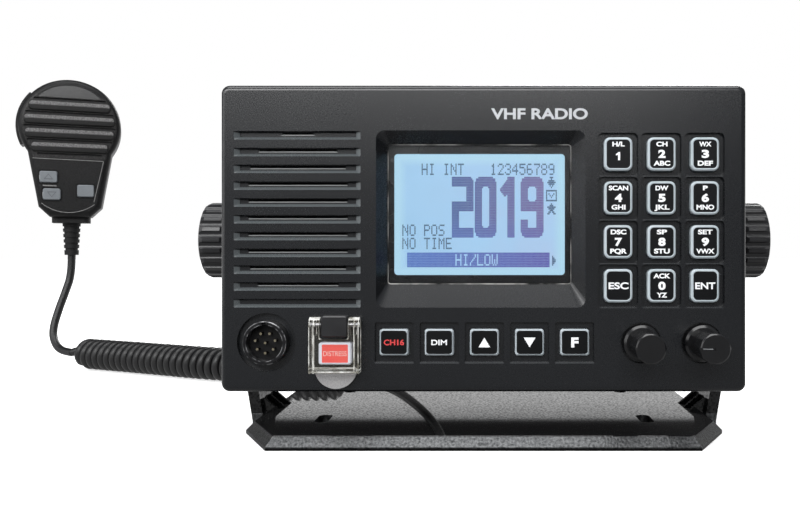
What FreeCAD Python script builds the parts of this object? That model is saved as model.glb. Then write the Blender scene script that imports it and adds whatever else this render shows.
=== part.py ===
# VHF marine radio in its tilting bracket, with a keypad, a covered distress key and a fist
# microphone on a curly cord.
#
# Millimetres. +X is right as the operator sees the radio, +Y runs away from the operator and
# +Z is up. The origin is the middle of the bracket's underside, straight below the tilt axis.
# Pieces on the radio are placed from the middle of its front face: their Y counts backwards
# from that face and their Z from the tilt axis.
import FreeCAD, Part
import Sketcher
import math
import os

SIZES = {
    # Clearances
    "running_gap": 0.3,
    "seat_gap": 0.05,
    "shaft_gap": 0.08,
    # Where the radio hangs in its bracket
    "pivot_height": 75.2,
    "panel_reach": 56.0,
    # Front panel moulding
    "panel_width": 187.5,
    "panel_height": 109.5,
    "panel_depth": 20.0,
    "panel_corner": 3.0,
    "panel_round": 2.0,
    "panel_wall": 2.5,
    "face_thickness": 3.0,
    # Screen opening and display
    "screen_x": -1.5,
    "screen_z": 8.8,
    "lens_width": 66.6,
    "lens_height": 50.8,
    "bezel_left": 3.5,
    "bezel_right": 4.5,
    "bezel_above": 4.3,
    "bezel_below": 8.0,
    "bezel_depth": 5.0,
    "lens_corner": 1.2,
    "bezel_corner": 3.0,
    "lens_frame": 4.0,
    "lens_lap": 2.5,
    "lens_thickness": 2.0,
    "view_width": 62.0,
    "view_height": 44.0,
    "module_width": 78.0,
    "module_height": 70.0,
    "module_frame_width": 71.0,
    "module_frame_height": 56.0,
    "module_frame_depth": 5.0,
    "board_thickness": 1.6,
    "glass_setback": 0.8,
    # Keypad
    "keypad_x": 63.3,
    "keypad_z": 6.6,
    "key_pitch_x": 15.4,
    "key_pitch_z": 15.6,
    "key_columns": 3,
    "key_rows": 4,
    "key_well_width": 14.3,
    "key_well_height": 15.3,
    "key_width": 10.0,
    "key_height": 11.8,
    "key_corner": 2.1,
    "well_depth": 1.5,
    "well_corner": 1.8,
    "key_stand": 1.0,
    "key_edge": 0.45,
    "key_flange_lap": 1.2,
    "key_flange": 1.2,
    "key_travel": 0.9,
    # Row of five keys under the screen
    "row_x": 0.3,
    "row_z": -36.9,
    "row_pitch": 16.05,
    "row_keys": 5,
    "row_well_width": 13.9,
    "row_well_height": 14.2,
    "row_well_corner": 0.8,
    "row_key_width": 10.2,
    "row_key_height": 9.3,
    "row_key_corner": 0.9,
    # Rubber mat and key board
    "mat_thickness": 1.0,
    "dome_diameter": 6.0,
    "dome_height": 0.5,
    "mat_margin": 0.8,
    "mat_bridge": 5.0,
    "strip_margin": 1.8,
    "board_post": 5.0,
    # Speaker and its louvres
    "speaker_x": -66.4,
    "speaker_z": 6.85,
    "louvre_width": 45.3,
    "louvre_height": 3.1,
    "louvre_pitch": 5.98,
    "louvre_count": 11,
    "louvre_depth": 1.7,
    "louvre_taper": 2.0,
    "louvre_floor": 1.5,
    "slit_height": 0.7,
    "slit_end_radius": 17.75,
    "slit_straight": 13.4,
    "speaker_width": 45.0,
    "speaker_height": 64.0,
    "speaker_corner": 20.0,
    "speaker_flange": 1.6,
    "speaker_depth": 9.0,
    "speaker_wall": 1.2,
    "speaker_rim": 4.0,
    "cone_gap": 1.0,
    "cone_paper": 0.8,
    "magnet_diameter": 30.0,
    "magnet_depth": 6.5,
    "coil_width": 14.0,
    # Covered distress key
    "distress_x": -52.3,
    "distress_z": -40.6,
    "distress_key_width": 11.6,
    "distress_key_height": 7.8,
    "distress_key_stand": 3.4,
    "distress_travel": 1.0,
    "hinge_z": -30.4,
    "hinge_stand": 3.1,
    "block_width": 9.5,
    "block_above": 3.2,
    "block_below": 4.2,
    "block_stand": 5.6,
    "block_corner": 1.2,
    "hinge_pin": 1.6,
    "cover_width": 17.6,
    "cover_drop": 16.9,
    "cover_wall": 1.2,
    "cover_ear": 2.7,
    "cover_ear_drop": 3.6,
    "cover_notch": 5.0,
    "tab_radius": 7.6,
    "tab_centre": 15.3,
    "tab_thickness": 1.3,
    # Eight-pin microphone socket on the panel
    "socket_x": -77.3,
    "socket_z": -37.0,
    "socket_recess": 21.0,
    "socket_recess_depth": 2.0,
    "socket_backing": 2.0,
    "socket_outer": 15.6,
    "socket_inner": 12.8,
    "socket_stand": 3.2,
    "socket_nut": 19.4,
    "socket_nut_depth": 3.0,
    "socket_tail": 6.0,
    "insert_setback": 1.0,
    "pin_diameter": 0.9,
    "pin_circle": 7.2,
    "pin_ring_count": 7,
    "pin_stand": 2.8,
    "pin_tail": 3.0,
    "keyway_width": 1.8,
    "keyway_depth": 1.0,
    # Rotary knobs
    "knob_left_x": 56.1,
    "knob_right_x": 77.7,
    "knob_z": -37.2,
    "knob_recess": 14.6,
    "knob_recess_depth": 2.0,
    "knob_skirt": 13.0,
    "knob_skirt_length": 5.0,
    "knob_tip": 11.0,
    "knob_flats": 10,
    "knob_flat_depth": 0.45,
    "knob_draft": 1.0,
    "knob_reach": 19.0,
    "knob_crown": 0.8,
    "pointer_width": 0.8,
    "pointer_depth": 0.5,
    "stem_diameter": 6.0,
    "bush_diameter": 7.4,
    "bush_setback": 0.4,
    "control_width": 12.0,
    "control_depth": 6.0,
    # Cast chassis behind the panel
    "gasket_thickness": 1.5,
    "gasket_inset": 1.0,
    "gasket_width": 2.2,
    "flange_thickness": 3.5,
    "chassis_inset": 8.75,
    "chassis_reach": 44.0,
    "chassis_corner": 9.0,
    "chassis_wall": 3.0,
    "case_screw_inset_x": 7.55,
    "case_screw_inset_z": 7.35,
    "case_screw": 3.0,
    "case_screw_head": 5.4,
    "case_screw_head_height": 2.2,
    "case_screw_bite": 8.0,
    "screw_boss": 7.0,
    "fin_count": 15,
    "fin_pitch": 10.6,
    "fin_thickness": 2.4,
    "fin_depth": 10.0,
    "fin_height": 54.0,
    "fin_z": 16.0,
    "fin_draft": 2.0,
    "pivot_boss": 24.0,
    "pivot_inner_boss": 13.0,
    "pivot_inner_length": 6.0,
    "rail_width": 4.0,
    "rail_z": -24.0,
    "rail_height": 2.0,
    "main_board_depth": 66.0,
    "shield_width": 64.0,
    "shield_depth": 44.0,
    "shield_height": 11.0,
    # Sockets on the back
    "gland_x": -25.0,
    "rear_z": -33.2,
    "gland_body": 11.0,
    "gland_end": 7.2,
    "gland_reach": 20.0,
    "gland_collar": 15.0,
    "gland_collar_length": 4.0,
    "gland_ring_pitch": 3.2,
    "gland_ring_groove": 1.2,
    "gland_rings": 4,
    "inlet_x": 10.0,
    "inlet_width": 20.0,
    "inlet_height": 12.0,
    "inlet_wall": 1.6,
    "inlet_reach": 9.0,
    "inlet_cavity": 7.0,
    "inlet_pin": 2.0,
    "inlet_pin_pitch": 9.6,
    "inlet_root": 4.0,
    "antenna_x": 50.0,
    "antenna_flange": 25.4,
    "antenna_flange_thickness": 1.6,
    "antenna_barrel": 15.88,
    "antenna_bore": 12.4,
    "antenna_bore_depth": 9.0,
    "antenna_reach": 17.0,
    "antenna_contact": 5.4,
    "antenna_contact_bore": 4.0,
    "antenna_root": 13.0,
    # Bracket
    "base_width": 184.8,
    "base_nose_width": 154.6,
    "base_reach": 58.0,
    "base_corner": 29.0,
    "base_rear_corner": 6.0,
    "base_thickness": 4.7,
    "base_bevel": 3.4,
    "arm_width": 26.0,
    "arm_thickness": 4.0,
    "foot_span": 188.6,
    "arm_span": 207.6,
    "arm_bend": 58.0,
    "rib_count": 3,
    "rib_pitch": 9.0,
    "rib_thickness": 2.0,
    "rib_length": 6.5,
    "rib_height": 5.5,
    "bolt_span": 126.6,
    "bolt_front": -24.0,
    "bolt_rear": 44.0,
    "bolt_slot": 5.5,
    "bolt_slot_length": 15.0,
    # Clamp knobs at the tilt axis
    "washer_diameter": 22.0,
    "washer_thickness": 4.0,
    "stud_diameter": 6.0,
    "stud_hole_gap": 0.3,
    "clamp_hub": 20.0,
    "clamp_hub_length": 2.0,
    "clamp_diameter": 31.5,
    "clamp_reach": 12.3,
    "clamp_edge": 1.0,
    "clamp_round": 2.3,
    "clamp_round_share": 0.3,
    "clamp_dish": 20.0,
    "clamp_dish_depth": 0.8,
    "clamp_grooves": 22,
    "clamp_groove": 3.2,
    "clamp_groove_depth": 1.1,
    "stud_in_knob": 8.0,
    "stud_in_boss": 12.0,
    # Fist microphone
    "mic_x": -260.8,
    "mic_y": 174.0,
    "mic_z": 147.5,
    "mic_turn": 23.0,
    "mic_head_radius": 28.5,
    "mic_shoulder": 23.3,
    "mic_waist": 17.5,
    "mic_waist_drop": 50.0,
    "mic_foot": 11.5,
    "mic_foot_drop": 56.0,
    "mic_front": 14.0,
    "mic_rear": 12.0,
    "mic_wall": 1.8,
    "mic_front_round": 3.5,
    "mic_rear_bevel": 4.0,
    "slat_pitch": 8.4,
    "slat_middle": -1.05,
    "slat_height": 6.3,
    "slat_rise": 1.0,
    "slat_sink": 0.4,
    "slat_corner": 2.4,
    "slat_edge": 0.8,
    "slat_gap": 1.3,
    "slat_gap_depth": 1.3,
    "slat_field_radius": 25.4,
    "slat_gaps": 5,
    "mic_key_stand": 1.2,
    "mic_key_travel": 0.8,
    "mic_key_corner": 1.2,
    "mic_key_depth": 4.2,
    "mic_key_lap": 1.0,
    "up_key_x": -11.8,
    "up_key_z": -31.9,
    "up_key_width": 9.7,
    "up_key_height": 6.9,
    "down_key_x": -10.0,
    "down_key_z": -42.4,
    "down_key_width": 9.7,
    "down_key_height": 6.9,
    "side_key_x": 8.6,
    "side_key_z": -40.0,
    "side_key_width": 9.4,
    "side_key_height": 7.4,
    "ptt_outer_radius": 30.3,
    "ptt_thickness": 4.2,
    "ptt_width": 13.0,
    "ptt_from": 138.0,
    "ptt_to": 204.0,
    "ptt_travel": 1.5,
    "ptt_bay_spread": 3.0,
    "capsule_diameter": 9.7,
    "capsule_depth": 5.0,
    "hang_neck": 9.0,
    "hang_neck_length": 3.0,
    "hang_head": 17.0,
    "hang_head_length": 3.0,
    "hang_drop": 6.0,
    "boot_collar_width": 21.4,
    "boot_collar_depth": 17.0,
    "boot_collar_height": 3.5,
    "boot_top": 10.4,
    "boot_end": 8.0,
    "boot_length": 20.0,
    "boot_rings": 5,
    "boot_ring_pitch": 3.4,
    "boot_ring_groove": 1.3,
    # Cord
    "cord_diameter": 4.6,
    "coil_diameter": 18.0,
    "coil_lift": 9.2,
    "route_unit": 1.0,
}

KEY_NAMES = [
    ["key_1", "key_2", "key_3"],
    ["key_4", "key_5", "key_6"],
    ["key_7", "key_8", "key_9"],
    ["key_escape", "key_0", "key_enter"],
]
ROW_KEY_NAMES = ["row_key_1", "row_key_2", "row_key_3", "row_key_4", "row_key_5"]

doc = FreeCAD.newDocument("MarineRadio")
sheet = doc.addObject("Spreadsheet::Sheet", "Sizes")


class Size:
    """A formula over the sheet's cells, together with the value it has now."""

    def __init__(self, text, value):
        self.text = text
        self.value = value

    def joined(self, sign, other, value):
        return Size(f"({self.text} {sign} {other.text})", value)

    def __add__(self, other):
        other = as_size(other)
        return self.joined("+", other, self.value + other.value)

    def __sub__(self, other):
        other = as_size(other)
        return self.joined("-", other, self.value - other.value)

    def __mul__(self, other):
        other = as_size(other)
        return self.joined("*", other, self.value * other.value)

    def __truediv__(self, other):
        other = as_size(other)
        return self.joined("/", other, self.value / other.value)

    def __radd__(self, other):
        return as_size(other) + self

    def __rsub__(self, other):
        return as_size(other) - self

    def __rmul__(self, other):
        return as_size(other) * self

    def __neg__(self):
        return Size(f"(-{self.text})", -self.value)


def as_size(number):
    """Let a plain number stand in a formula."""
    if isinstance(number, Size):
        return number
    return Size(f"({float(number)})", float(number))


def root(size):
    return Size(f"sqrt({size.text})", math.sqrt(size.value))


def larger(first, second):
    first = as_size(first)
    second = as_size(second)
    return Size(f"max({first.text}; {second.text})", max(first.value, second.value))


def chord(radius, offset):
    """Half the width of a circle at a distance from its centre."""
    return root(radius * radius - offset * offset)


class Cells:
    """The sheet's cells by name, each as a formula."""

    def __init__(self, table):
        for row, (name, value) in enumerate(table.items(), start=1):
            sheet.set(f"A{row}", name)
            sheet.set(f"B{row}", str(value))
            sheet.setAlias(f"B{row}", name)
            setattr(self, name, Size(f"Sizes.{name}", value))


d = Cells(SIZES)
doc.recompute()


def bind(item, prop, size):
    """Give a property its value and, where cells stand behind it, its formula."""
    size = as_size(size)
    if "Sizes." in size.text:
        item.setExpression(prop, size.text)
    else:
        setattr(item, prop, size.value)


def degrees(size):
    """The same number as an angle."""
    size = as_size(size)
    return Size(f"({size.text} * 1 deg)", size.value)


def place(item, x, y, z):
    for axis, size in zip("xyz", (x, y, z)):
        item.setExpression(f"Placement.Base.{axis}", as_size(size).text)


# The sketch planes' normals against the model axes: the XZ plane looks towards -Y.
NORMAL = {"XY": 1, "XZ": -1, "YZ": 1}


def constrain(sketch, constraints, sizes=()):
    """Add constraints; the last of them take the given sizes in order."""
    first = sketch.ConstraintCount + len(constraints) - len(sizes)
    sketch.addConstraint(constraints)
    for number, size in enumerate(sizes, start=first):
        if "Sizes." in size.text:
            sketch.setExpression(f"Constraints[{number}]", size.text)


def at(x, y):
    return FreeCAD.Vector(x, y, 0)


def arc_of(x, y, radius, start, end):
    circle_line = Part.Circle(at(x, y), FreeCAD.Vector(0, 0, 1), radius)
    return Part.ArcOfCircle(circle_line, math.radians(start), math.radians(end))


def rectangle(sketch, centre_x, centre_y, width, height, corner):
    """Draw a rectangle with rounded corners."""
    left, right = as_size(centre_x) - width / 2, as_size(centre_x) + width / 2
    low, high = as_size(centre_y) - height / 2, as_size(centre_y) + height / 2
    x0, x1, y0, y1 = left.value, right.value, low.value, high.value
    r = corner.value
    g = sketch.GeometryCount
    sketch.addGeometry([
        Part.LineSegment(at(x0 + r, y0), at(x1 - r, y0)),
        Part.LineSegment(at(x1, y0 + r), at(x1, y1 - r)),
        Part.LineSegment(at(x1 - r, y1), at(x0 + r, y1)),
        Part.LineSegment(at(x0, y1 - r), at(x0, y0 + r)),
        arc_of(x1 - r, y0 + r, r, 270, 360),
        arc_of(x1 - r, y1 - r, r, 0, 90),
        arc_of(x0 + r, y1 - r, r, 90, 180),
        arc_of(x0 + r, y0 + r, r, 180, 270),
    ], False)
    rule = Sketcher.Constraint
    joints = []
    for side in range(4):
        joints.append(rule("Tangent", g + side, 2, g + 4 + side, 1))
        joints.append(rule("Tangent", g + 4 + side, 2, g + (side + 1) % 4, 1))
    constrain(sketch, joints + [
        rule("Horizontal", g), rule("Horizontal", g + 2),
        rule("Vertical", g + 1), rule("Vertical", g + 3),
        rule("Equal", g + 4, g + 5), rule("Equal", g + 4, g + 6), rule("Equal", g + 4, g + 7),
        rule("Radius", g + 4, r),
        rule("DistanceX", -1, 1, g + 3, 1, x0), rule("DistanceX", -1, 1, g + 1, 1, x1),
        rule("DistanceY", -1, 1, g, 1, y0), rule("DistanceY", -1, 1, g + 2, 1, y1),
    ], [corner, left, right, low, high])


def circle(sketch, x, y, diameter):
    x, y = as_size(x), as_size(y)
    g = sketch.GeometryCount
    sketch.addGeometry([Part.Circle(at(x.value, y.value), FreeCAD.Vector(0, 0, 1),
                                    diameter.value / 2)], False)
    rule = Sketcher.Constraint
    constrain(sketch, [
        rule("Diameter", g, diameter.value),
        rule("DistanceX", -1, 1, g, 3, x.value), rule("DistanceY", -1, 1, g, 3, y.value),
    ], [diameter, x, y])


def outline(sketch, corners):
    """Draw a closed outline of straight lines; each corner is held by its X and Y."""
    corners = [(as_size(x), as_size(y)) for x, y in corners]
    g = sketch.GeometryCount
    count = len(corners)
    ends = corners[1:] + corners[:1]
    sketch.addGeometry([Part.LineSegment(at(a[0].value, a[1].value), at(b[0].value, b[1].value))
                        for a, b in zip(corners, ends)], False)
    rule = Sketcher.Constraint
    joints = [rule("Coincident", g + i, 2, g + (i + 1) % count, 1) for i in range(count)]
    held = []
    sizes = []
    for i, (x, y) in enumerate(corners):
        held += [rule("DistanceX", -1, 1, g + i, 1, x.value),
                 rule("DistanceY", -1, 1, g + i, 1, y.value)]
        sizes += [x, y]
    constrain(sketch, joints + held, sizes)


def slot(sketch, x, y, length, width):
    """Draw a slot with round ends that runs along the sketch's vertical."""
    x, y = as_size(x), as_size(y)
    high = y + (length - width) / 2
    low = y - (length - width) / 2
    r = width.value / 2
    g = sketch.GeometryCount
    sketch.addGeometry([
        Part.LineSegment(at(x.value + r, low.value), at(x.value + r, high.value)),
        arc_of(x.value, high.value, r, 0, 180),
        Part.LineSegment(at(x.value - r, high.value), at(x.value - r, low.value)),
        arc_of(x.value, low.value, r, 180, 360),
    ], False)
    rule = Sketcher.Constraint
    constrain(sketch, [
        rule("Tangent", g, 2, g + 1, 1), rule("Tangent", g + 1, 2, g + 2, 1),
        rule("Tangent", g + 2, 2, g + 3, 1), rule("Tangent", g + 3, 2, g, 1),
        rule("Diameter", g + 1, width.value),
        rule("DistanceX", -1, 1, g + 1, 3, x.value), rule("DistanceX", -1, 1, g + 3, 3, x.value),
        rule("DistanceY", -1, 1, g + 1, 3, high.value), rule("DistanceY", -1, 1, g + 3, 3, low.value),
    ], [width, x, x, high, low])


class Piece:
    """A PartDesign body, built up feature by feature on its own origin planes."""

    def __init__(self, name, x=0, y=0, z=0, turn=0):
        self.name = name
        self.body = doc.addObject("PartDesign::Body", name)
        self.body.Label = name
        turn = as_size(turn)
        self.body.Placement = FreeCAD.Placement(
            FreeCAD.Vector(), FreeCAD.Rotation(FreeCAD.Vector(0, 0, 1), turn.value))
        if "Sizes." in turn.text:
            self.body.setExpression("Placement.Rotation.Angle", degrees(turn).text)
        place(self.body, x, y, z)

    def datum(self, role):
        return next(item for item in self.body.Origin.OriginFeatures if item.Role == role)

    def sketch(self, plane, offset=0):
        """Open a sketch on an origin plane, moved along the plane's positive model axis."""
        sketch = self.body.newObject("Sketcher::SketchObject", f"{self.name}_sketch")
        sketch.AttachmentSupport = [(self.datum(f"{plane}_Plane"), "")]
        sketch.MapMode = "FlatFace"
        sketch.addProperty("App::PropertyInteger", "Side", "Base", "")
        sketch.Side = NORMAL[plane]
        shift = as_size(offset) * NORMAL[plane]
        sketch.setExpression("AttachmentOffset.Base.z", shift.text)
        return sketch

    def feature(self, kind, sketch):
        item = self.body.newObject(f"PartDesign::{kind}", f"{self.name}_{kind.lower()}")
        item.Profile = sketch
        item.Refine = False
        return item

    def pad(self, sketch, length, towards=1, taper=0):
        item = self.feature("Pad", sketch)
        bind(item, "Length", length)
        item.Reversed = towards != sketch.Side
        bind(item, "TaperAngle", degrees(taper))
        return item

    def cut(self, sketch, length, towards=1, taper=0):
        item = self.feature("Pocket", sketch)
        bind(item, "Length", length)
        item.Reversed = towards == sketch.Side
        bind(item, "TaperAngle", degrees(taper))
        return item

    def turned(self, sketch, line, kind="Revolution"):
        item = self.feature(kind, sketch)
        item.ReferenceAxis = (sketch, [line])
        item.Angle = 360
        return item

    def loft(self, first, second, kind="AdditiveLoft"):
        item = self.feature(kind, first)
        item.Sections = [second]
        item.Ruled = True
        return item

    def edges(self, test):
        """Name the edges of the piece so far whose bounding box passes the test."""
        doc.recompute()
        tip = self.body.Tip
        names = [f"Edge{i}" for i, edge in enumerate(tip.Shape.Edges, start=1)
                 if test(edge.BoundBox)]
        return tip, names

    def fillet(self, radius, test):
        base = self.edges(test)
        item = self.body.newObject("PartDesign::Fillet", f"{self.name}_fillet")
        item.Base = base
        bind(item, "Radius", radius)
        return item

    def chamfer(self, size, test):
        base = self.edges(test)
        item = self.body.newObject("PartDesign::Chamfer", f"{self.name}_chamfer")
        item.Base = base
        bind(item, "Size", size)
        return item

    def repeat(self, originals, *steps):
        """Repeat features by one or more steps, each from along, around or mirrored."""
        pattern = self.body.newObject("PartDesign::MultiTransform", f"{self.name}_pattern")
        pattern.Originals = originals
        pattern.Refine = False
        pattern.Transformations = [step(self) for step in steps]
        self.body.Tip = pattern
        return pattern


def along(axis, pitch, count):
    def step(piece):
        item = piece.body.newObject("PartDesign::LinearPattern", "line")
        item.Direction = (piece.datum(f"{axis}_Axis"), [""])
        bind(item, "Length", pitch * (count - 1))
        bind(item, "Occurrences", count)
        return item
    return step


def around(axis, count):
    def step(piece):
        item = piece.body.newObject("PartDesign::PolarPattern", "round")
        item.Axis = (piece.datum(f"{axis}_Axis"), [""])
        item.Angle = 360
        bind(item, "Occurrences", count)
        return item
    return step


def mirrored(plane):
    def step(piece):
        item = piece.body.newObject("PartDesign::Mirrored", "mirror")
        item.MirrorPlane = (piece.datum(f"{plane}_Plane"), [""])
        return item
    return step


# Directions for plain cylinders, whose own axis is Z.
ROTATION = {
    "X": FreeCAD.Rotation(FreeCAD.Vector(0, 1, 0), 90),
    "Y": FreeCAD.Rotation(FreeCAD.Vector(1, 0, 0), -90),
    "Z": FreeCAD.Rotation(),
}


def rod(name, axis, diameter, length, x, y, z):
    """A cylinder that starts at a point and runs along a positive model axis."""
    item = doc.addObject("Part::Cylinder", name)
    item.Placement = FreeCAD.Placement(FreeCAD.Vector(), ROTATION[axis])
    bind(item, "Radius", diameter / 2)
    bind(item, "Height", length)
    place(item, x, y, z)
    return item


def block(name, width, depth, height, x, y, z):
    """A box centred in X on a point, behind it in Y and centred on it in Z."""
    item = doc.addObject("Part::Box", name)
    bind(item, "Length", width)
    bind(item, "Width", depth)
    bind(item, "Height", height)
    place(item, as_size(x) - as_size(width) / 2, y, as_size(z) - as_size(height) / 2)
    return item


def less(name, base, tool):
    item = doc.addObject("Part::Cut", name)
    item.Base = base
    item.Tool = tool
    item.Label = name
    return item


def joined(name, members):
    item = doc.addObject("Part::MultiFuse", name)
    item.Shapes = members
    item.Label = name
    return item


def grouped(name, members):
    """Several loose solids that make one node."""
    item = doc.addObject("Part::Compound", name)
    item.Links = members
    item.Label = name
    return item


# Places on the panel are counted from the middle of its front face.
FACE_Y = -d.panel_reach
CHASSIS_WIDTH = d.panel_width - 2 * d.chassis_inset
CHASSIS_HEIGHT = d.panel_height - 2 * d.chassis_inset
SCREW_X = d.panel_width / 2 - d.case_screw_inset_x
SCREW_Z = d.panel_height / 2 - d.case_screw_inset_z
BOSS_FACE = d.arm_span / 2 - d.arm_thickness - d.running_gap - d.washer_thickness


def on_panel(name, x, z):
    return Piece(name, x, FACE_Y, d.pivot_height + z)


FLAT = 1e-4


def level(axis, place_on_axis):
    """Test for edges that lie flat at one place on an axis."""
    spot = as_size(place_on_axis).value

    def test(box):
        low, high = getattr(box, f"{axis}Min"), getattr(box, f"{axis}Max")
        return abs(low - spot) < FLAT and abs(high - spot) < FLAT
    return test


def make_bracket():
    """The bent bracket: a bevelled base, two cranked arms, foot ribs and bolt slots."""
    piece = Piece("bracket")
    base = piece.sketch("XY")
    side = d.base_width / 2
    nose = d.base_nose_width / 2
    reach = d.base_reach
    shoulder = reach - d.base_corner
    heel = d.base_rear_corner
    outline(base, [(-nose, -reach), (nose, -reach), (side, -shoulder), (side, reach - heel),
                   (side - heel, reach), (heel - side, reach), (-side, reach - heel),
                   (-side, -shoulder)])
    piece.pad(base, d.base_thickness)
    piece.chamfer(d.base_bevel, level("Z", d.base_thickness))

    # Each arm leans out from its foot and stands upright round the tilt axis.
    foot = d.foot_span / 2
    arm = d.arm_span / 2
    inner_foot = foot - d.arm_thickness
    inner_arm = arm - d.arm_thickness
    leg = piece.sketch("XZ", -d.arm_width / 2)
    outline(leg, [(inner_foot, 0), (foot, 0), (foot, d.base_thickness - d.base_bevel),
                  (arm, d.arm_bend), (inner_arm, d.arm_bend), (inner_foot, d.base_thickness)])
    lower = piece.pad(leg, d.arm_width)
    straight = piece.sketch("YZ", inner_arm)
    outline(straight, [(-d.arm_width / 2, d.arm_bend), (d.arm_width / 2, d.arm_bend),
                       (d.arm_width / 2, d.pivot_height), (-d.arm_width / 2, d.pivot_height)])
    upper = piece.pad(straight, d.arm_thickness)
    top = piece.sketch("YZ", inner_arm)
    circle(top, 0, d.pivot_height, d.arm_width)
    end = piece.pad(top, d.arm_thickness)
    piece.repeat([lower, upper, end], mirrored("YZ"))

    rib = piece.sketch("XZ", -d.rib_pitch * (d.rib_count - 1) / 2 - d.rib_thickness / 2)
    inside = inner_foot + d.arm_thickness / 2
    outline(rib, [(inner_foot - d.rib_length, d.base_thickness / 2), (inside, d.base_thickness / 2),
                  (inside, d.base_thickness + d.rib_height),
                  (inner_foot, d.base_thickness + d.rib_height),
                  (inner_foot - d.rib_length, d.base_thickness)])
    gusset = piece.pad(rib, d.rib_thickness)
    piece.repeat([gusset], along("Y", d.rib_pitch, d.rib_count), mirrored("YZ"))

    pivot = piece.sketch("YZ", -arm)
    circle(pivot, 0, d.pivot_height, d.stud_diameter + 2 * d.stud_hole_gap)
    piece.cut(pivot, d.arm_span)
    bolts = piece.sketch("XY")
    for x in (-d.bolt_span / 2, d.bolt_span / 2):
        for y in (d.bolt_front, d.bolt_rear):
            slot(bolts, x, y, d.bolt_slot_length, d.bolt_slot)
    piece.cut(bolts, d.base_thickness)


def make_clamp_knob(side, turn, direction):
    """One fluted clamp knob and its stud; the knob's own X runs outwards from the arm."""
    seat = direction * (d.arm_span / 2 + d.running_gap)
    knob = Piece(f"clamp_knob_{side}", seat, 0, d.pivot_height, turn)
    profile = knob.sketch("XY")
    grip = d.clamp_diameter / 2
    hub = d.clamp_hub / 2
    dish = d.clamp_dish / 2
    near = d.clamp_round * d.clamp_round_share
    outline(profile, [
        (0, 0), (0, hub), (d.clamp_hub_length, hub), (d.clamp_hub_length, grip - d.clamp_edge),
        (d.clamp_hub_length + d.clamp_edge, grip), (d.clamp_reach - d.clamp_round, grip),
        (d.clamp_reach - near, grip - near),
        (d.clamp_reach, grip - d.clamp_round), (d.clamp_reach, dish),
        (d.clamp_reach - d.clamp_dish_depth, dish - d.clamp_dish_depth),
        (d.clamp_reach - d.clamp_dish_depth, 0),
    ])
    knob.turned(profile, "H_Axis")
    bore = knob.sketch("YZ")
    circle(bore, 0, 0, d.stud_diameter + 2 * d.seat_gap)
    knob.cut(bore, d.stud_in_knob)
    flute = knob.sketch("YZ", d.clamp_hub_length)
    circle(flute, 0, grip - d.clamp_groove_depth + d.clamp_groove / 2, d.clamp_groove)
    groove = knob.cut(flute, d.clamp_reach)
    knob.repeat([groove], around("X", d.clamp_grooves))

    inner_end = BOSS_FACE - d.stud_in_boss
    stud = Piece(f"clamp_stud_{side}", direction * inner_end, 0, d.pivot_height, turn)
    shank = stud.sketch("XY")
    length = d.arm_span / 2 + d.running_gap + d.stud_in_knob - inner_end
    radius = d.stud_diameter / 2
    point = radius - d.key_edge
    outline(shank, [(0, 0), (0, point), (d.key_edge, radius), (length, radius), (length, 0)])
    stud.turned(shank, "H_Axis")


def make_friction_washers():
    """The pair of washers between the pivot bosses and the bracket's arms."""
    rings = []
    bore = d.stud_diameter + 2 * d.stud_hole_gap
    height = d.pivot_height
    for side, start in (("left", -BOSS_FACE - d.washer_thickness), ("right", BOSS_FACE)):
        disc = rod(f"washer_{side}_disc", "X", d.washer_diameter, d.washer_thickness, start, 0,
                   height)
        hole = rod(f"washer_{side}_hole", "X", bore, d.washer_thickness, start, 0, height)
        rings.append(less(f"washer_{side}", disc, hole))
    grouped("friction_washers", rings)


def make_front_panel():
    """The front moulding: an open shell with every well, louvre, recess and boss in it."""
    panel = on_panel("front_panel", 0, 0)
    face = panel.sketch("XZ")
    rectangle(face, 0, 0, d.panel_width, d.panel_height, d.panel_corner)
    panel.pad(face, d.panel_depth)
    panel.fillet(d.panel_round, level("Y", 0))
    inside = panel.sketch("XZ", d.face_thickness)
    rectangle(inside, 0, 0, d.panel_width - 2 * d.panel_wall, d.panel_height - 2 * d.panel_wall,
              d.panel_corner)
    panel.cut(inside, d.panel_depth)
    add_panel_bosses(panel)
    cut_screen(panel)
    cut_socket_seat(panel)
    cut_knob_seats(panel)
    button = panel.sketch("XZ")
    rectangle(button, d.distress_x, d.distress_z, d.distress_key_width + 2 * d.running_gap,
              d.distress_key_height + 2 * d.running_gap, d.row_key_corner + d.running_gap)
    panel.cut(button, d.face_thickness)
    cut_key_wells(panel)
    cut_louvres(panel)


def cut_screen(panel):
    """A frame behind the face carries the lens; sloping walls run down to it."""
    frame = panel.sketch("XZ", d.face_thickness)
    bezel_x = d.screen_x + (d.bezel_right - d.bezel_left) / 2
    bezel_z = d.screen_z + (d.bezel_above - d.bezel_below) / 2
    bezel_width = d.lens_width + d.bezel_left + d.bezel_right
    bezel_height = d.lens_height + d.bezel_above + d.bezel_below
    rectangle(frame, d.screen_x, d.screen_z, d.lens_width + 2 * d.lens_frame,
              d.lens_height + 2 * d.lens_frame, d.bezel_corner)
    panel.pad(frame, d.bezel_depth - d.face_thickness)
    mouth = panel.sketch("XZ")
    rectangle(mouth, bezel_x, bezel_z, bezel_width, bezel_height, d.bezel_corner)
    floor = panel.sketch("XZ", d.bezel_depth)
    rectangle(floor, d.screen_x, d.screen_z, d.lens_width, d.lens_height, d.lens_corner)
    panel.loft(mouth, floor, "SubtractiveLoft")


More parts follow.
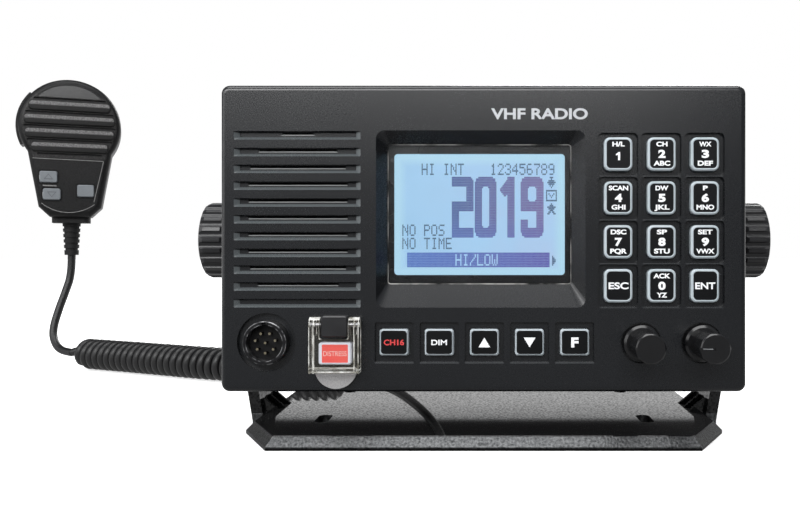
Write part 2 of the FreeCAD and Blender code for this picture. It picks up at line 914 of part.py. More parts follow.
def cut_key_wells(panel):
    """Shallow wells round the keys, each with the opening that its key slides in."""
    keypad_left = d.keypad_x - d.key_pitch_x * (d.key_columns - 1) / 2
    keypad_low = d.keypad_z - d.key_pitch_z * (d.key_rows - 1) / 2
    row_left = d.row_x - d.row_pitch * (d.row_keys - 1) / 2
    gap = 2 * d.running_gap
    well = panel.sketch("XZ")
    rectangle(well, keypad_left, keypad_low, d.key_well_width, d.key_well_height, d.well_corner)
    well_cut = panel.cut(well, d.well_depth)
    opening = panel.sketch("XZ")
    rectangle(opening, keypad_left, keypad_low, d.key_width + gap, d.key_height + gap,
              d.key_corner + d.running_gap)
    opening_cut = panel.cut(opening, d.face_thickness)
    panel.repeat([well_cut, opening_cut], along("X", d.key_pitch_x, d.key_columns),
                 along("Z", d.key_pitch_z, d.key_rows))
    well = panel.sketch("XZ")
    rectangle(well, row_left, d.row_z, d.row_well_width, d.row_well_height, d.row_well_corner)
    well_cut = panel.cut(well, d.well_depth)
    opening = panel.sketch("XZ")
    rectangle(opening, row_left, d.row_z, d.row_key_width + gap, d.row_key_height + gap,
              d.row_key_corner + d.running_gap)
    opening_cut = panel.cut(opening, d.face_thickness)
    panel.repeat([well_cut, opening_cut], along("X", d.row_pitch, d.row_keys))


def cut_louvres(panel):
    """Tapered troughs; inside the speaker's oblong each is slit along its floor's top."""
    lowest = d.speaker_z - d.louvre_pitch * (d.louvre_count - 1) / 2
    floor_rise = (d.louvre_height - d.louvre_floor) / 2 - d.key_edge
    slits = panel.sketch("XZ")
    for number in range(1, SIZES["louvre_count"]):
        height = lowest + d.louvre_pitch * number + floor_rise
        offset = height - d.speaker_z
        beyond = larger(larger(offset, -offset) - d.slit_straight, 0)
        half = chord(d.slit_end_radius, beyond)
        high = height + d.louvre_floor / 2
        low = high - d.slit_height
        outline(slits, [(d.speaker_x - half, low), (d.speaker_x + half, low),
                        (d.speaker_x + half, high), (d.speaker_x - half, high)])
    panel.cut(slits, d.face_thickness)
    trough = panel.sketch("XZ")
    rectangle(trough, d.speaker_x, lowest, d.louvre_width, d.louvre_height, d.key_edge)
    floor = panel.sketch("XZ", d.louvre_depth)
    rectangle(floor, d.speaker_x, lowest + floor_rise, d.louvre_width - 2 * d.louvre_taper,
              d.louvre_floor, d.key_edge)
    cut = panel.loft(trough, floor, "SubtractiveLoft")
    panel.repeat([cut], along("Z", d.louvre_pitch, d.louvre_count))


def cut_socket_seat(panel):
    """The round recess, its backing and the hole of the microphone socket."""
    backing = panel.sketch("XZ", d.face_thickness)
    circle(backing, d.socket_x, d.socket_z, d.socket_recess + d.socket_backing)
    panel.pad(backing, d.socket_backing)
    recess = panel.sketch("XZ")
    circle(recess, d.socket_x, d.socket_z, d.socket_recess)
    panel.cut(recess, d.socket_recess_depth)
    hole = panel.sketch("XZ")
    circle(hole, d.socket_x, d.socket_z, d.socket_outer + 2 * d.seat_gap)
    panel.cut(hole, d.face_thickness + d.socket_backing)


def cut_knob_seats(panel):
    """Round recesses for the knobs' skirts with a hole for each bush."""
    recesses = panel.sketch("XZ")
    holes = panel.sketch("XZ")
    for x in (d.knob_left_x, d.knob_right_x):
        circle(recesses, x, d.knob_z, d.knob_recess)
        circle(holes, x, d.knob_z, d.bush_diameter + 2 * d.seat_gap)
    panel.cut(recesses, d.knob_recess_depth)
    panel.cut(holes, d.face_thickness)


def add_panel_bosses(panel):
    """Corner bosses take the case screws; short posts carry the key board."""
    bosses = panel.sketch("XZ", d.face_thickness)
    bores = panel.sketch("XZ", d.panel_depth - d.case_screw_bite)
    for x in (-SCREW_X, SCREW_X):
        for z in (-SCREW_Z, SCREW_Z):
            circle(bosses, x, z, d.screw_boss)
            circle(bores, x, z, d.case_screw + 2 * d.seat_gap)
    panel.pad(bosses, d.panel_depth - d.face_thickness)
    panel.cut(bores, d.case_screw_bite)
    posts = panel.sketch("XZ", d.face_thickness)
    for x, z in board_posts():
        circle(posts, x, z, d.board_post)
    panel.pad(posts, board_front() - d.face_thickness)


def board_front():
    """Depth of the key board's front behind the panel's face."""
    return (d.face_thickness + d.running_gap + d.key_flange + d.key_travel + d.running_gap
            + d.dome_height + d.mat_thickness)


def keypad_edge(side_x, side_z):
    """The keypad's outer flange edges; each side is -1 or 1."""
    x = d.keypad_x + side_x * (d.key_pitch_x * (d.key_columns - 1) / 2 + d.key_width / 2)
    z = d.keypad_z + side_z * (d.key_pitch_z * (d.key_rows - 1) / 2 + d.key_height / 2)
    lap = d.key_flange_lap + d.mat_margin
    return x + side_x * lap, z + side_z * lap


def row_left_edge():
    return d.row_x - d.row_pitch * (d.row_keys - 1) / 2 - d.row_key_width / 2


def board_posts():
    """Places where the key board rests on the panel, clear of the keys and the knobs."""
    radius = d.board_post / 2
    above_keypad = keypad_edge(1, 1)[1] + radius
    beside_button = (d.distress_x + d.distress_key_width / 2 + row_left_edge()) / 2
    return [(d.panel_width / 2 - d.panel_wall - radius, d.keypad_z),
            ((d.knob_left_x + d.knob_right_x) / 2, d.knob_z),
            (beside_button, d.row_z), (d.keypad_x, above_keypad)]


def make_display():
    """The lens behind the screen opening and the display module behind the lens."""
    lens = on_panel("display_window", d.screen_x, d.screen_z)
    sheet_front = lens.sketch("XZ", d.bezel_depth)
    rectangle(sheet_front, 0, 0, d.lens_width + 2 * d.lens_lap, d.lens_height + 2 * d.lens_lap,
              d.lens_corner)
    lens.pad(sheet_front, d.lens_thickness)

    module = on_panel("lcd_module", d.screen_x, d.screen_z)
    front = d.bezel_depth + d.lens_thickness
    frame = module.sketch("XZ", front)
    rectangle(frame, 0, 0, d.module_frame_width, d.module_frame_height, d.lens_corner)
    module.pad(frame, d.module_frame_depth)
    board = module.sketch("XZ", front + d.module_frame_depth)
    rectangle(board, 0, 0, d.module_width, d.module_height, d.lens_corner)
    module.pad(board, d.board_thickness)
    view = module.sketch("XZ", front)
    rectangle(view, 0, 0, d.view_width, d.view_height, d.lens_corner)
    module.cut(view, d.glass_setback)


def make_key(name, x, z, width, height, corner):
    """A key cap that stands proud of its well, on a flange behind the panel's face."""
    key = on_panel(name, x, z)
    seat = d.face_thickness + d.running_gap
    flange = key.sketch("XZ", seat)
    lap = 2 * d.key_flange_lap
    rectangle(flange, 0, 0, width + lap, height + lap, corner)
    key.pad(flange, d.key_flange)
    cap = key.sketch("XZ", seat)
    rectangle(cap, 0, 0, width, height, corner)
    key.pad(cap, seat + d.key_stand, towards=-1)
    key.chamfer(d.key_edge, level("Y", -d.key_stand))


def make_keys():
    for row, names in enumerate(KEY_NAMES):
        for column, name in enumerate(names):
            x = d.keypad_x + d.key_pitch_x * (column - (d.key_columns - 1) / 2)
            z = d.keypad_z - d.key_pitch_z * (row - (d.key_rows - 1) / 2)
            make_key(name, x, z, d.key_width, d.key_height, d.key_corner)
    for number, name in enumerate(ROW_KEY_NAMES):
        x = d.row_x + d.row_pitch * (number - (d.row_keys - 1) / 2)
        make_key(name, x, d.row_z, d.row_key_width, d.row_key_height, d.row_key_corner)


def make_key_board():
    """The rubber mat with a dome under every key, and the circuit board behind it."""
    right, top = keypad_edge(1, 1)
    column, foot = keypad_edge(-1, -1)
    strip = d.row_key_height / 2 + d.key_flange_lap + d.mat_margin
    left = d.distress_x - d.distress_key_width / 2 - d.key_flange_lap - d.mat_margin
    bridge = column + d.mat_bridge
    mat = on_panel("keypad_mat", 0, 0)
    sheet_sketch = mat.sketch("XZ", board_front() - d.mat_thickness)
    outline(sheet_sketch, [
        (left, d.row_z - strip), (bridge, d.row_z - strip), (bridge, foot), (right, foot),
        (right, top), (column, top), (column, d.row_z + strip), (left, d.row_z + strip)])
    mat.pad(sheet_sketch, d.mat_thickness)
    domes = mat.sketch("XZ", board_front() - d.mat_thickness)
    for row in range(SIZES["key_rows"]):
        for place_in_row in range(SIZES["key_columns"]):
            circle(domes, d.keypad_x + d.key_pitch_x * (place_in_row - (d.key_columns - 1) / 2),
                   d.keypad_z - d.key_pitch_z * (row - (d.key_rows - 1) / 2), d.dome_diameter)
    for number in range(SIZES["row_keys"]):
        circle(domes, d.row_x + d.row_pitch * (number - (d.row_keys - 1) / 2), d.row_z,
               d.dome_diameter)
    circle(domes, d.distress_x, d.distress_z, d.dome_diameter)
    mat.pad(domes, d.dome_height, towards=-1)
    hole = mat.sketch("XZ", board_front() - d.mat_thickness)
    for x, z in board_posts():
        circle(hole, x, z, d.board_post + 2 * d.running_gap)
    mat.cut(hole, d.mat_thickness)

    board = on_panel("key_board", 0, 0)
    edge = SCREW_Z - d.screw_boss / 2 - d.running_gap
    far_right = d.panel_width / 2 - d.panel_wall - d.running_gap
    strip_top = d.row_z + d.row_well_height / 2 + d.strip_margin
    plate = board.sketch("XZ", board_front())
    outline(plate, [(left, -edge), (far_right, -edge), (far_right, edge), (column, edge),
                    (column, strip_top), (left, strip_top)])
    board.pad(plate, d.board_thickness)
    bushes = board.sketch("XZ", board_front())
    for x in (d.knob_left_x, d.knob_right_x):
        circle(bushes, x, d.knob_z, d.bush_diameter + 2 * d.seat_gap)
    board.cut(bushes, d.board_thickness)


def make_speaker():
    """An oblong speaker: flanged basket, magnet and the cone inside."""
    basket = on_panel("speaker_basket", d.speaker_x, d.speaker_z)
    front = d.face_thickness
    flange = basket.sketch("XZ", front)
    rectangle(flange, 0, 0, d.speaker_width, d.speaker_height, d.speaker_corner)
    basket.pad(flange, d.speaker_flange)
    wide = basket.sketch("XZ", front + d.speaker_flange)
    inset = 2 * d.speaker_wall
    rectangle(wide, 0, 0, d.speaker_width - inset, d.speaker_height - inset,
              d.speaker_corner - d.speaker_wall)
    narrow = basket.sketch("XZ", front + d.speaker_flange + d.speaker_depth)
    hub = d.coil_width + 4 * d.speaker_wall
    rectangle(narrow, 0, 0, hub, hub, hub / 2 - d.speaker_wall)
    basket.loft(wide, narrow)
    magnet = basket.sketch("XZ", front + d.speaker_flange + d.speaker_depth)
    circle(magnet, 0, 0, d.magnet_diameter)
    basket.pad(magnet, d.magnet_depth)
    mouth = basket.sketch("XZ", front)
    rim = 2 * d.speaker_rim
    rectangle(mouth, 0, 0, d.speaker_width - rim, d.speaker_height - rim,
              d.speaker_corner - d.speaker_rim)
    throat = basket.sketch("XZ", front + d.speaker_depth)
    rectangle(throat, 0, 0, d.coil_width, d.coil_width, d.coil_width / 2 - d.speaker_wall)
    basket.loft(mouth, throat, "SubtractiveLoft")

    cone = on_panel("speaker_cone", d.speaker_x, d.speaker_z)
    for inner, kind in ((d.cone_gap, "AdditiveLoft"),
                        (d.cone_gap + d.cone_paper, "SubtractiveLoft")):
        rim_line = cone.sketch("XZ", front + d.running_gap)
        shrink = rim + 2 * inner
        rectangle(rim_line, 0, 0, d.speaker_width - shrink, d.speaker_height - shrink,
                  d.speaker_corner - d.speaker_rim - inner)
        back = front + d.speaker_depth + d.cone_gap - inner - d.running_gap
        coil_line = cone.sketch("XZ", back)
        coil = d.coil_width - 2 * inner
        rectangle(coil_line, 0, 0, coil, coil, coil / 2 - d.speaker_wall)
        cone.loft(rim_line, coil_line, kind)


def make_distress_key():
    """The distress key under its hinged cover, with the hinge's block and pin."""
    button = on_panel("distress_button", d.distress_x, d.distress_z)
    seat = d.face_thickness + d.running_gap
    flange = button.sketch("XZ", seat)
    lap = 2 * d.key_flange_lap
    rectangle(flange, 0, 0, d.distress_key_width + lap, d.distress_key_height + lap,
              d.row_key_corner)
    button.pad(flange, d.key_flange)
    cap = button.sketch("XZ", seat)
    rectangle(cap, 0, 0, d.distress_key_width, d.distress_key_height, d.row_key_corner)
    button.pad(cap, seat + d.distress_key_stand, towards=-1)
    button.chamfer(d.key_edge, level("Y", -d.distress_key_stand))

    hinge = (d.distress_x, FACE_Y - d.hinge_stand, d.pivot_height + d.hinge_z)
    hinge_block = Piece("distress_hinge_block", *hinge)
    foot = hinge_block.sketch("XZ", d.hinge_stand)
    rectangle(foot, 0, (d.block_above - d.block_below) / 2, d.block_width,
              d.block_above + d.block_below, d.block_corner)
    hinge_block.pad(foot, d.block_stand, towards=-1)
    hinge_block.chamfer(d.key_edge, level("Y", d.hinge_stand - d.block_stand))
    bore = hinge_block.sketch("YZ", -d.block_width / 2)
    circle(bore, 0, 0, d.hinge_pin + 2 * d.seat_gap)
    hinge_block.cut(bore, d.block_width)
    rod("distress_hinge_pin", "X", d.hinge_pin, d.cover_width - 2 * d.running_gap,
        hinge[0] - d.cover_width / 2 + d.running_gap, hinge[1], hinge[2])

    cover = Piece("distress_cover", *hinge)
    side = d.cover_width / 2
    back = d.hinge_stand - d.running_gap - d.seat_gap
    front = -d.hinge_stand
    rail = cover.sketch("YZ", -side)
    outline(rail, [(front, -d.cover_drop), (back, -d.cover_drop), (back, -d.key_edge), (0, 0),
                   (front, 0)])
    cover.pad(rail, d.cover_width)
    ear = cover.sketch("YZ", -side)
    circle(ear, 0, 0, 2 * d.cover_ear)
    cover.pad(ear, d.cover_width)
    tab = cover.sketch("XZ", back - d.tab_thickness)
    circle(tab, 0, -d.tab_centre, 2 * d.tab_radius)
    cover.pad(tab, d.tab_thickness)
    cavity = cover.sketch("XZ", back)
    low = d.cover_drop - d.cover_wall
    rectangle(cavity, 0, -(low + d.cover_ear_drop) / 2, d.cover_width - 2 * d.cover_wall,
              low - d.cover_ear_drop, d.key_edge)
    cover.cut(cavity, back - front - d.cover_wall, towards=-1)
    notch = cover.sketch("XZ", back)
    rectangle(notch, 0, 0, d.block_width + 2 * d.running_gap, 2 * d.cover_notch, d.block_corner)
    cover.cut(notch, back - front, towards=-1)
    pin_bore = cover.sketch("YZ", -side)
    circle(pin_bore, 0, 0, d.hinge_pin + 2 * d.shaft_gap)
    cover.cut(pin_bore, d.cover_width)


def make_front_socket():
    """The eight-pin microphone socket: threaded shell with its nut, insert and pins."""
    shell = on_panel("socket_shell", d.socket_x, d.socket_z)
    profile = shell.sketch("XY")
    outer = d.socket_outer / 2
    inner = d.socket_inner / 2
    nut = d.socket_nut / 2
    back = d.face_thickness + d.socket_backing
    tail = back + d.socket_nut_depth + d.socket_tail
    outline(profile, [(inner, -d.socket_stand), (outer - d.key_edge, -d.socket_stand),
                      (outer, d.key_edge - d.socket_stand), (outer, back), (nut, back),
                      (nut, back + d.socket_nut_depth), (outer, back + d.socket_nut_depth),
                      (outer, tail), (inner, tail)])
    shell.turned(profile, "V_Axis")
    keyway = shell.sketch("XZ", -d.socket_stand)
    rectangle(keyway, 0, inner, d.keyway_width, 2 * d.keyway_depth, d.seat_gap)
    shell.cut(keyway, d.socket_stand + d.insert_setback)

    insert = on_panel("socket_insert", d.socket_x, d.socket_z)
    disc = insert.sketch("XZ", d.insert_setback)
    circle(disc, 0, 0, d.socket_inner - 2 * d.seat_gap)
    insert.pad(disc, tail - d.insert_setback)
    centre = insert.sketch("XZ", d.insert_setback)
    circle(centre, 0, 0, d.pin_diameter + 2 * d.seat_gap)
    insert.cut(centre, tail - d.insert_setback)
    outer_hole = insert.sketch("XZ", d.insert_setback)
    circle(outer_hole, 0, -d.pin_circle / 2, d.pin_diameter + 2 * d.seat_gap)
    hole = insert.cut(outer_hole, tail - d.insert_setback)
    insert.repeat([hole], around("Y", d.pin_ring_count))

    start = d.insert_setback - d.pin_stand
    length = tail + d.pin_tail - start
    centre_z = d.pivot_height + d.socket_z
    pins = [rod("socket_pin_centre", "Y", d.pin_diameter, length, d.socket_x, FACE_Y + start,
                centre_z)]
    for number in range(SIZES["pin_ring_count"]):
        angle = 2 * math.pi * number / SIZES["pin_ring_count"]
        pins.append(rod(f"socket_pin_{number}", "Y", d.pin_diameter, length,
                        d.socket_x + d.pin_circle / 2 * math.sin(angle), FACE_Y + start,
                        centre_z - d.pin_circle / 2 * math.cos(angle)))
    grouped("socket_pins", pins)


def make_rotary_knob(name, x, pointer):
    """A skirted knob with flats round its tip and a stem that turns in the control."""
    knob = on_panel(name, x, d.knob_z)
    profile = knob.sketch("XY")
    skirt = d.knob_skirt / 2
    tip = d.knob_tip / 2
    stem = d.stem_diameter / 2
    seat = d.knob_recess_depth - d.running_gap
    shoulder = seat - d.knob_skirt_length
    outline(profile, [
        (0, stem_end()), (stem, stem_end()), (stem, seat), (skirt, seat),
        (skirt, shoulder + d.knob_crown), (skirt - d.knob_crown, shoulder), (tip, shoulder),
        (tip, d.knob_crown - d.knob_reach), (tip - d.knob_crown, -d.knob_reach),
        (0, -d.knob_reach)])
    knob.turned(profile, "V_Axis")
    flat = knob.sketch("XZ", -d.knob_reach)
    rectangle(flat, 0, tip - d.knob_flat_depth + d.knob_crown, d.knob_tip, 2 * d.knob_crown,
              d.seat_gap)
    side = knob.cut(flat, d.knob_reach + shoulder, taper=d.knob_draft)
    knob.repeat([side], around("Y", d.knob_flats))
    if pointer:
        line = knob.sketch("XZ", -d.knob_reach)
        rectangle(line, -tip / 2, 0, tip, d.pointer_width, d.seat_gap)
        knob.cut(line, d.pointer_depth)


def stem_end():
    return board_front() + d.board_thickness + d.control_depth - d.speaker_flange


def make_controls():
    """The two rotary controls behind the key board, with their bushes through the panel."""
    controls = []
    back = board_front() + d.board_thickness
    start = d.knob_recess_depth + d.bush_setback
    for side, x in (("left", d.knob_left_x), ("right", d.knob_right_x)):
        height = d.pivot_height + d.knob_z
        bush = rod(f"bush_{side}", "Y", d.bush_diameter, back - start, x, FACE_Y + start, height)
        body = block(f"control_{side}_body", d.control_width, d.control_depth, d.control_width,
                     x, FACE_Y + back, height)
        bore = rod(f"control_{side}_bore", "Y", d.stem_diameter + 2 * d.shaft_gap,
                   stem_end() + d.running_gap - start, x, FACE_Y + start, height)
        solid = joined(f"control_{side}_solid", [bush, body])
        controls.append(less(f"control_{side}", solid, bore))
    grouped("rotary_controls", controls)


def make_chassis():
    """The cast chassis: flanged box, pivot bosses, board rails, sockets' holes and fins."""
    chassis = on_panel("chassis", 0, 0)
    front = d.panel_depth + d.gasket_thickness
    rear = d.panel_reach + d.chassis_reach
    half = CHASSIS_WIDTH / 2
    flange = chassis.sketch("XZ", front)
    rectangle(flange, 0, 0, d.panel_width - 2 * d.gasket_inset,
              d.panel_height - 2 * d.gasket_inset, d.panel_corner)
    chassis.pad(flange, d.flange_thickness)
    box = chassis.sketch("XZ", front)
    rectangle(box, 0, 0, CHASSIS_WIDTH, CHASSIS_HEIGHT, d.chassis_corner)
    chassis.pad(box, rear - front)
    cavity = chassis.sketch("XZ", front)
    rectangle(cavity, 0, 0, CHASSIS_WIDTH - 2 * d.chassis_wall,
              CHASSIS_HEIGHT - 2 * d.chassis_wall, d.chassis_corner - d.chassis_wall)
    chassis.cut(cavity, rear - front - d.chassis_wall)

    boss = chassis.sketch("YZ", half)
    circle(boss, d.panel_reach, 0, d.pivot_boss)
    outer_boss = chassis.pad(boss, BOSS_FACE - half)
    core = chassis.sketch("YZ", half - d.chassis_wall)
    circle(core, d.panel_reach, 0, d.pivot_inner_boss)
    inner_boss = chassis.pad(core, d.pivot_inner_length, towards=-1)
    rail = chassis.sketch("XZ", front + d.flange_thickness)
    rail_x = half - d.chassis_wall - d.rail_width / 2
    rectangle(rail, rail_x, d.rail_z - d.rail_height / 2, d.rail_width, d.rail_height, d.seat_gap)
    board_rail = chassis.pad(rail, d.main_board_depth)
    thread = chassis.sketch("YZ", BOSS_FACE)
    circle(thread, d.panel_reach, 0, d.stud_diameter + 2 * d.shaft_gap)
    stud_hole = chassis.cut(thread, d.stud_in_boss + d.running_gap, towards=-1)
    chassis.repeat([outer_boss, inner_boss, board_rail, stud_hole], mirrored("YZ"))

    fin = chassis.sketch("XZ", rear)
    rectangle(fin, -d.fin_pitch * (d.fin_count - 1) / 2, d.fin_z, d.fin_thickness, d.fin_height,
              d.key_edge)
    one_fin = chassis.pad(fin, d.fin_depth, taper=-d.fin_draft)
    chassis.repeat([one_fin], along("X", d.fin_pitch, d.fin_count))
    holes = chassis.sketch("XZ", rear - d.chassis_wall)
    circle(holes, d.gland_x, d.rear_z, d.gland_body + 2 * d.seat_gap)
    circle(holes, d.antenna_x, d.rear_z, d.antenna_root + 2 * d.seat_gap)
    rectangle(holes, d.inlet_x, d.rear_z, d.inlet_width + 2 * d.seat_gap,
              d.inlet_height + 2 * d.seat_gap, d.lens_corner)
    chassis.cut(holes, d.chassis_wall)
    screws = chassis.sketch("XZ", front)
    for x in (-SCREW_X, SCREW_X):
        for z in (-SCREW_Z, SCREW_Z):
            circle(screws, x, z, d.case_screw + 2 * d.running_gap)
    chassis.cut(screws, d.flange_thickness)


def make_gasket():
    """The seal between the panel's rim and the chassis flange."""
    gasket = on_panel("panel_gasket", 0, 0)
    for inset, action in ((d.gasket_inset, gasket.pad),
                          (d.gasket_inset + d.gasket_width, gasket.cut)):
        ring = gasket.sketch("XZ", d.panel_depth)
        rectangle(ring, 0, 0, d.panel_width - 2 * inset, d.panel_height - 2 * inset,
                  d.panel_corner - d.gasket_inset)
        action(ring, d.gasket_thickness)


def make_case_screws():
    """Four screws through the chassis flange into the panel's corner bosses."""
    screws = []
    back = d.panel_depth + d.gasket_thickness + d.flange_thickness
    tip = d.panel_depth - d.case_screw_bite + d.running_gap
    for x in (-SCREW_X, SCREW_X):
        for z in (-SCREW_Z, SCREW_Z):
            number = len(screws) + 1
            height = d.pivot_height + z
            shank = rod(f"case_screw_shank_{number}", "Y", d.case_screw, back - tip, x,
                        FACE_Y + tip, height)
            head = rod(f"case_screw_head_{number}", "Y", d.case_screw_head,
                       d.case_screw_head_height, x, FACE_Y + back, height)
            screws.append(joined(f"case_screw_{number}", [shank, head]))
    grouped("case_screws", screws)


def make_main_board():
    """The main board on the chassis rails, with its shielding can."""
    half = CHASSIS_WIDTH / 2 - d.chassis_wall - d.running_gap
    front = d.panel_depth + d.gasket_thickness + d.flange_thickness
    height = d.pivot_height + d.rail_z
    board = block("main_board_plate", 2 * half, d.main_board_depth, d.board_thickness, 0,
                  FACE_Y + front, height + d.board_thickness / 2)
    can = block("main_board_shield", d.shield_width, d.shield_depth, d.shield_height,
                0, FACE_Y + front + (d.main_board_depth - d.shield_depth) / 2,
                height + d.board_thickness + d.shield_height / 2)
    joined("main_board", [board, can])


def ringed(start, end, first_radius, last_radius, pitch, groove, count):
    """Profile points of a tapering sleeve with ring grooves as deep as half their width."""
    way = 1 if end.value > start.value else -1
    slope = (last_radius - first_radius) / (end - start)
    points = [(first_radius, start)]
    for number in range(1, count + 1):
        far = start + way * number * pitch
        near = far - way * groove
        outer_near = first_radius + slope * (near - start)
        outer_far = first_radius + slope * (far - start)
        points += [(outer_near, near), (outer_near - groove / 2, near),
                   (outer_far - groove / 2, far), (outer_far, far)]
    return points + [(last_radius, end)]


def make_rear_sockets():
    """The cord's gland, the power inlet and the antenna socket on the back."""
    rear = d.panel_reach + d.chassis_reach
    gland = on_panel("cord_gland", d.gland_x, d.rear_z)
    profile = gland.sketch("XY")
    body = d.gland_body / 2
    collar = d.gland_collar / 2
    shoulder = rear + d.gland_collar_length
    outline(profile, [(0, rear - d.chassis_wall), (body, rear - d.chassis_wall), (body, rear),
                      (collar, rear), (collar, shoulder)]
            + ringed(shoulder, rear + d.gland_reach, body, d.gland_end / 2,
                     d.gland_ring_pitch, d.gland_ring_groove, SIZES["gland_rings"])
            + [(0, rear + d.gland_reach)])
    gland.turned(profile, "V_Axis")

    inlet = on_panel("power_inlet", d.inlet_x, d.rear_z)
    root_line = inlet.sketch("XZ", rear - d.chassis_wall - d.inlet_root)
    rectangle(root_line, 0, 0, d.inlet_width, d.inlet_height, d.lens_corner)
    inlet.pad(root_line, d.inlet_root + d.chassis_wall + d.inlet_reach)
    mouth = inlet.sketch("XZ", rear + d.inlet_reach)
    rectangle(mouth, 0, 0, d.inlet_width - 2 * d.inlet_wall, d.inlet_height - 2 * d.inlet_wall,
              d.key_edge)
    inlet.cut(mouth, d.inlet_cavity, towards=-1)
    contacts = inlet.sketch("XZ", rear + d.inlet_reach - d.inlet_cavity)
    for x in (-d.inlet_pin_pitch / 2, d.inlet_pin_pitch / 2):
        circle(contacts, x, 0, d.inlet_pin)
    inlet.pad(contacts, d.inlet_cavity - d.lens_corner)

    antenna = on_panel("antenna_socket", d.antenna_x, d.rear_z)
    flange = antenna.sketch("XZ", rear)
    rectangle(flange, 0, 0, d.antenna_flange, d.antenna_flange, d.lens_corner)
    antenna.pad(flange, d.antenna_flange_thickness)
    barrel = antenna.sketch("XZ", rear)
    circle(barrel, 0, 0, d.antenna_barrel)
    antenna.pad(barrel, d.antenna_reach)
    plug_space = antenna.sketch("XZ", rear + d.antenna_reach)
    circle(plug_space, 0, 0, d.antenna_bore)
    antenna.cut(plug_space, d.antenna_bore_depth, towards=-1)
    contact = antenna.sketch("XZ", rear + d.antenna_reach - d.antenna_bore_depth)
    circle(contact, 0, 0, d.antenna_contact)
    circle(contact, 0, 0, d.antenna_contact_bore)
    antenna.pad(contact, d.antenna_bore_depth - d.lens_corner)
    root_disc = antenna.sketch("XZ", rear - d.chassis_wall)
    circle(root_disc, 0, 0, d.antenna_root)
    antenna.pad(root_disc, d.chassis_wall)


def mic_outline(sketch, inset):
    """The microphone's front view: a round head that runs into a tapering handle."""
    radius = d.mic_head_radius - inset
    shoulder = d.mic_shoulder - inset
    waist = d.mic_waist - inset
    foot = d.mic_foot - inset
    shoulder_z = -chord(radius, shoulder)
    foot_z = inset - d.mic_foot_drop
    turn = math.degrees(math.atan2(shoulder_z.value, shoulder.value))
    points = [(-shoulder, shoulder_z), (-waist, -d.mic_waist_drop), (-foot, foot_z),
              (foot, foot_z), (waist, -d.mic_waist_drop), (shoulder, shoulder_z)]
    rule = Sketcher.Constraint
    sketch.addGeometry([arc_of(0, 0, radius.value, turn, 180 - turn)]
                       + [Part.LineSegment(at(a[0].value, a[1].value), at(b[0].value, b[1].value))
                          for a, b in zip(points, points[1:])], False)
    last = len(points) - 1
    joints = [rule("Coincident", -1, 1, 0, 3), rule("Coincident", 0, 2, 1, 1),
              rule("Coincident", last, 2, 0, 1)]
    joints += [rule("Coincident", i, 2, i + 1, 1) for i in range(1, last)]
    held = [rule("Radius", 0, radius.value), rule("DistanceX", -1, 1, 1, 1, points[0][0].value),
            rule("DistanceX", -1, 1, last, 2, shoulder.value)]
    sizes = [radius, points[0][0], shoulder]
    for i, (x, z) in enumerate(points[1:-1], start=2):
        held += [rule("DistanceX", -1, 1, i, 1, x.value), rule("DistanceY", -1, 1, i, 1, z.value)]
        sizes += [x, z]
    constrain(sketch, joints + held, sizes)


def in_mic(name, x=0, y=0, z=0):
    """A piece on the microphone, placed along the microphone's own turned axes."""
    angle = degrees(d.mic_turn)
    cosine = Size(f"cos({angle.text})", math.cos(math.radians(angle.value)))
    sine = Size(f"sin({angle.text})", math.sin(math.radians(angle.value)))
    return Piece(name, d.mic_x + x * cosine - y * sine, d.mic_y + x * sine + y * cosine,
                 d.mic_z + z, d.mic_turn)


def ptt_sector(sketch, inner, outer, start, end):
    """A ring sector about the head's centre, between two angles in degrees."""
    corners = []
    for radius, angle in ((outer, start), (outer, end), (inner, end), (inner, start)):
        turn = degrees(angle).text
        radians = math.radians(angle.value)
        corners.append((radius * Size(f"cos({turn})", math.cos(radians)),
                        radius * Size(f"sin({turn})", math.sin(radians))))
    values = [(x.value, z.value) for x, z in corners]
    rule = Sketcher.Constraint
    g = sketch.GeometryCount
    sketch.addGeometry([
        arc_of(0, 0, outer.value, start.value, end.value),
        Part.LineSegment(at(*values[1]), at(*values[2])),
        arc_of(0, 0, inner.value, start.value, end.value),
        Part.LineSegment(at(*values[3]), at(*values[0])),
    ], False)
    held = []
    sizes = []
    for geometry, point, corner in ((g, 1, 0), (g, 2, 1), (g + 2, 2, 2), (g + 2, 1, 3)):
        if corner in (0, 3):
            held.append(rule("DistanceX", -1, 1, geometry, point, values[corner][0]))
            sizes.append(corners[corner][0])
        held.append(rule("DistanceY", -1, 1, geometry, point, values[corner][1]))
        sizes.append(corners[corner][1])
    constrain(sketch, [
        rule("Coincident", -1, 1, g, 3), rule("Coincident", -1, 1, g + 2, 3),
        rule("Coincident", g, 2, g + 1, 1), rule("Coincident", g + 1, 2, g + 2, 2),
        rule("Coincident", g + 2, 1, g + 3, 1), rule("Coincident", g + 3, 2, g, 1),
    ] + held, sizes)


def mic_keys():
    """Name, place and size of the microphone's three front keys."""
    return [("mic_key_up", d.up_key_x, d.up_key_z, d.up_key_width, d.up_key_height),
            ("mic_key_down", d.down_key_x, d.down_key_z, d.down_key_width, d.down_key_height),
            ("mic_key_side", d.side_key_x, d.side_key_z, d.side_key_width, d.side_key_height)]


def cut_ptt_bay(shell, low, length):
    """Open the head's side for the push-to-talk bar, with room for its stroke."""
    bay = shell.sketch("XZ", low)
    inner = d.ptt_outer_radius - d.ptt_thickness - d.ptt_travel - d.running_gap
    ptt_sector(bay, inner, d.mic_head_radius + d.mic_wall, d.ptt_from - d.ptt_bay_spread,
               d.ptt_to + d.ptt_bay_spread)
    shell.cut(bay, length)


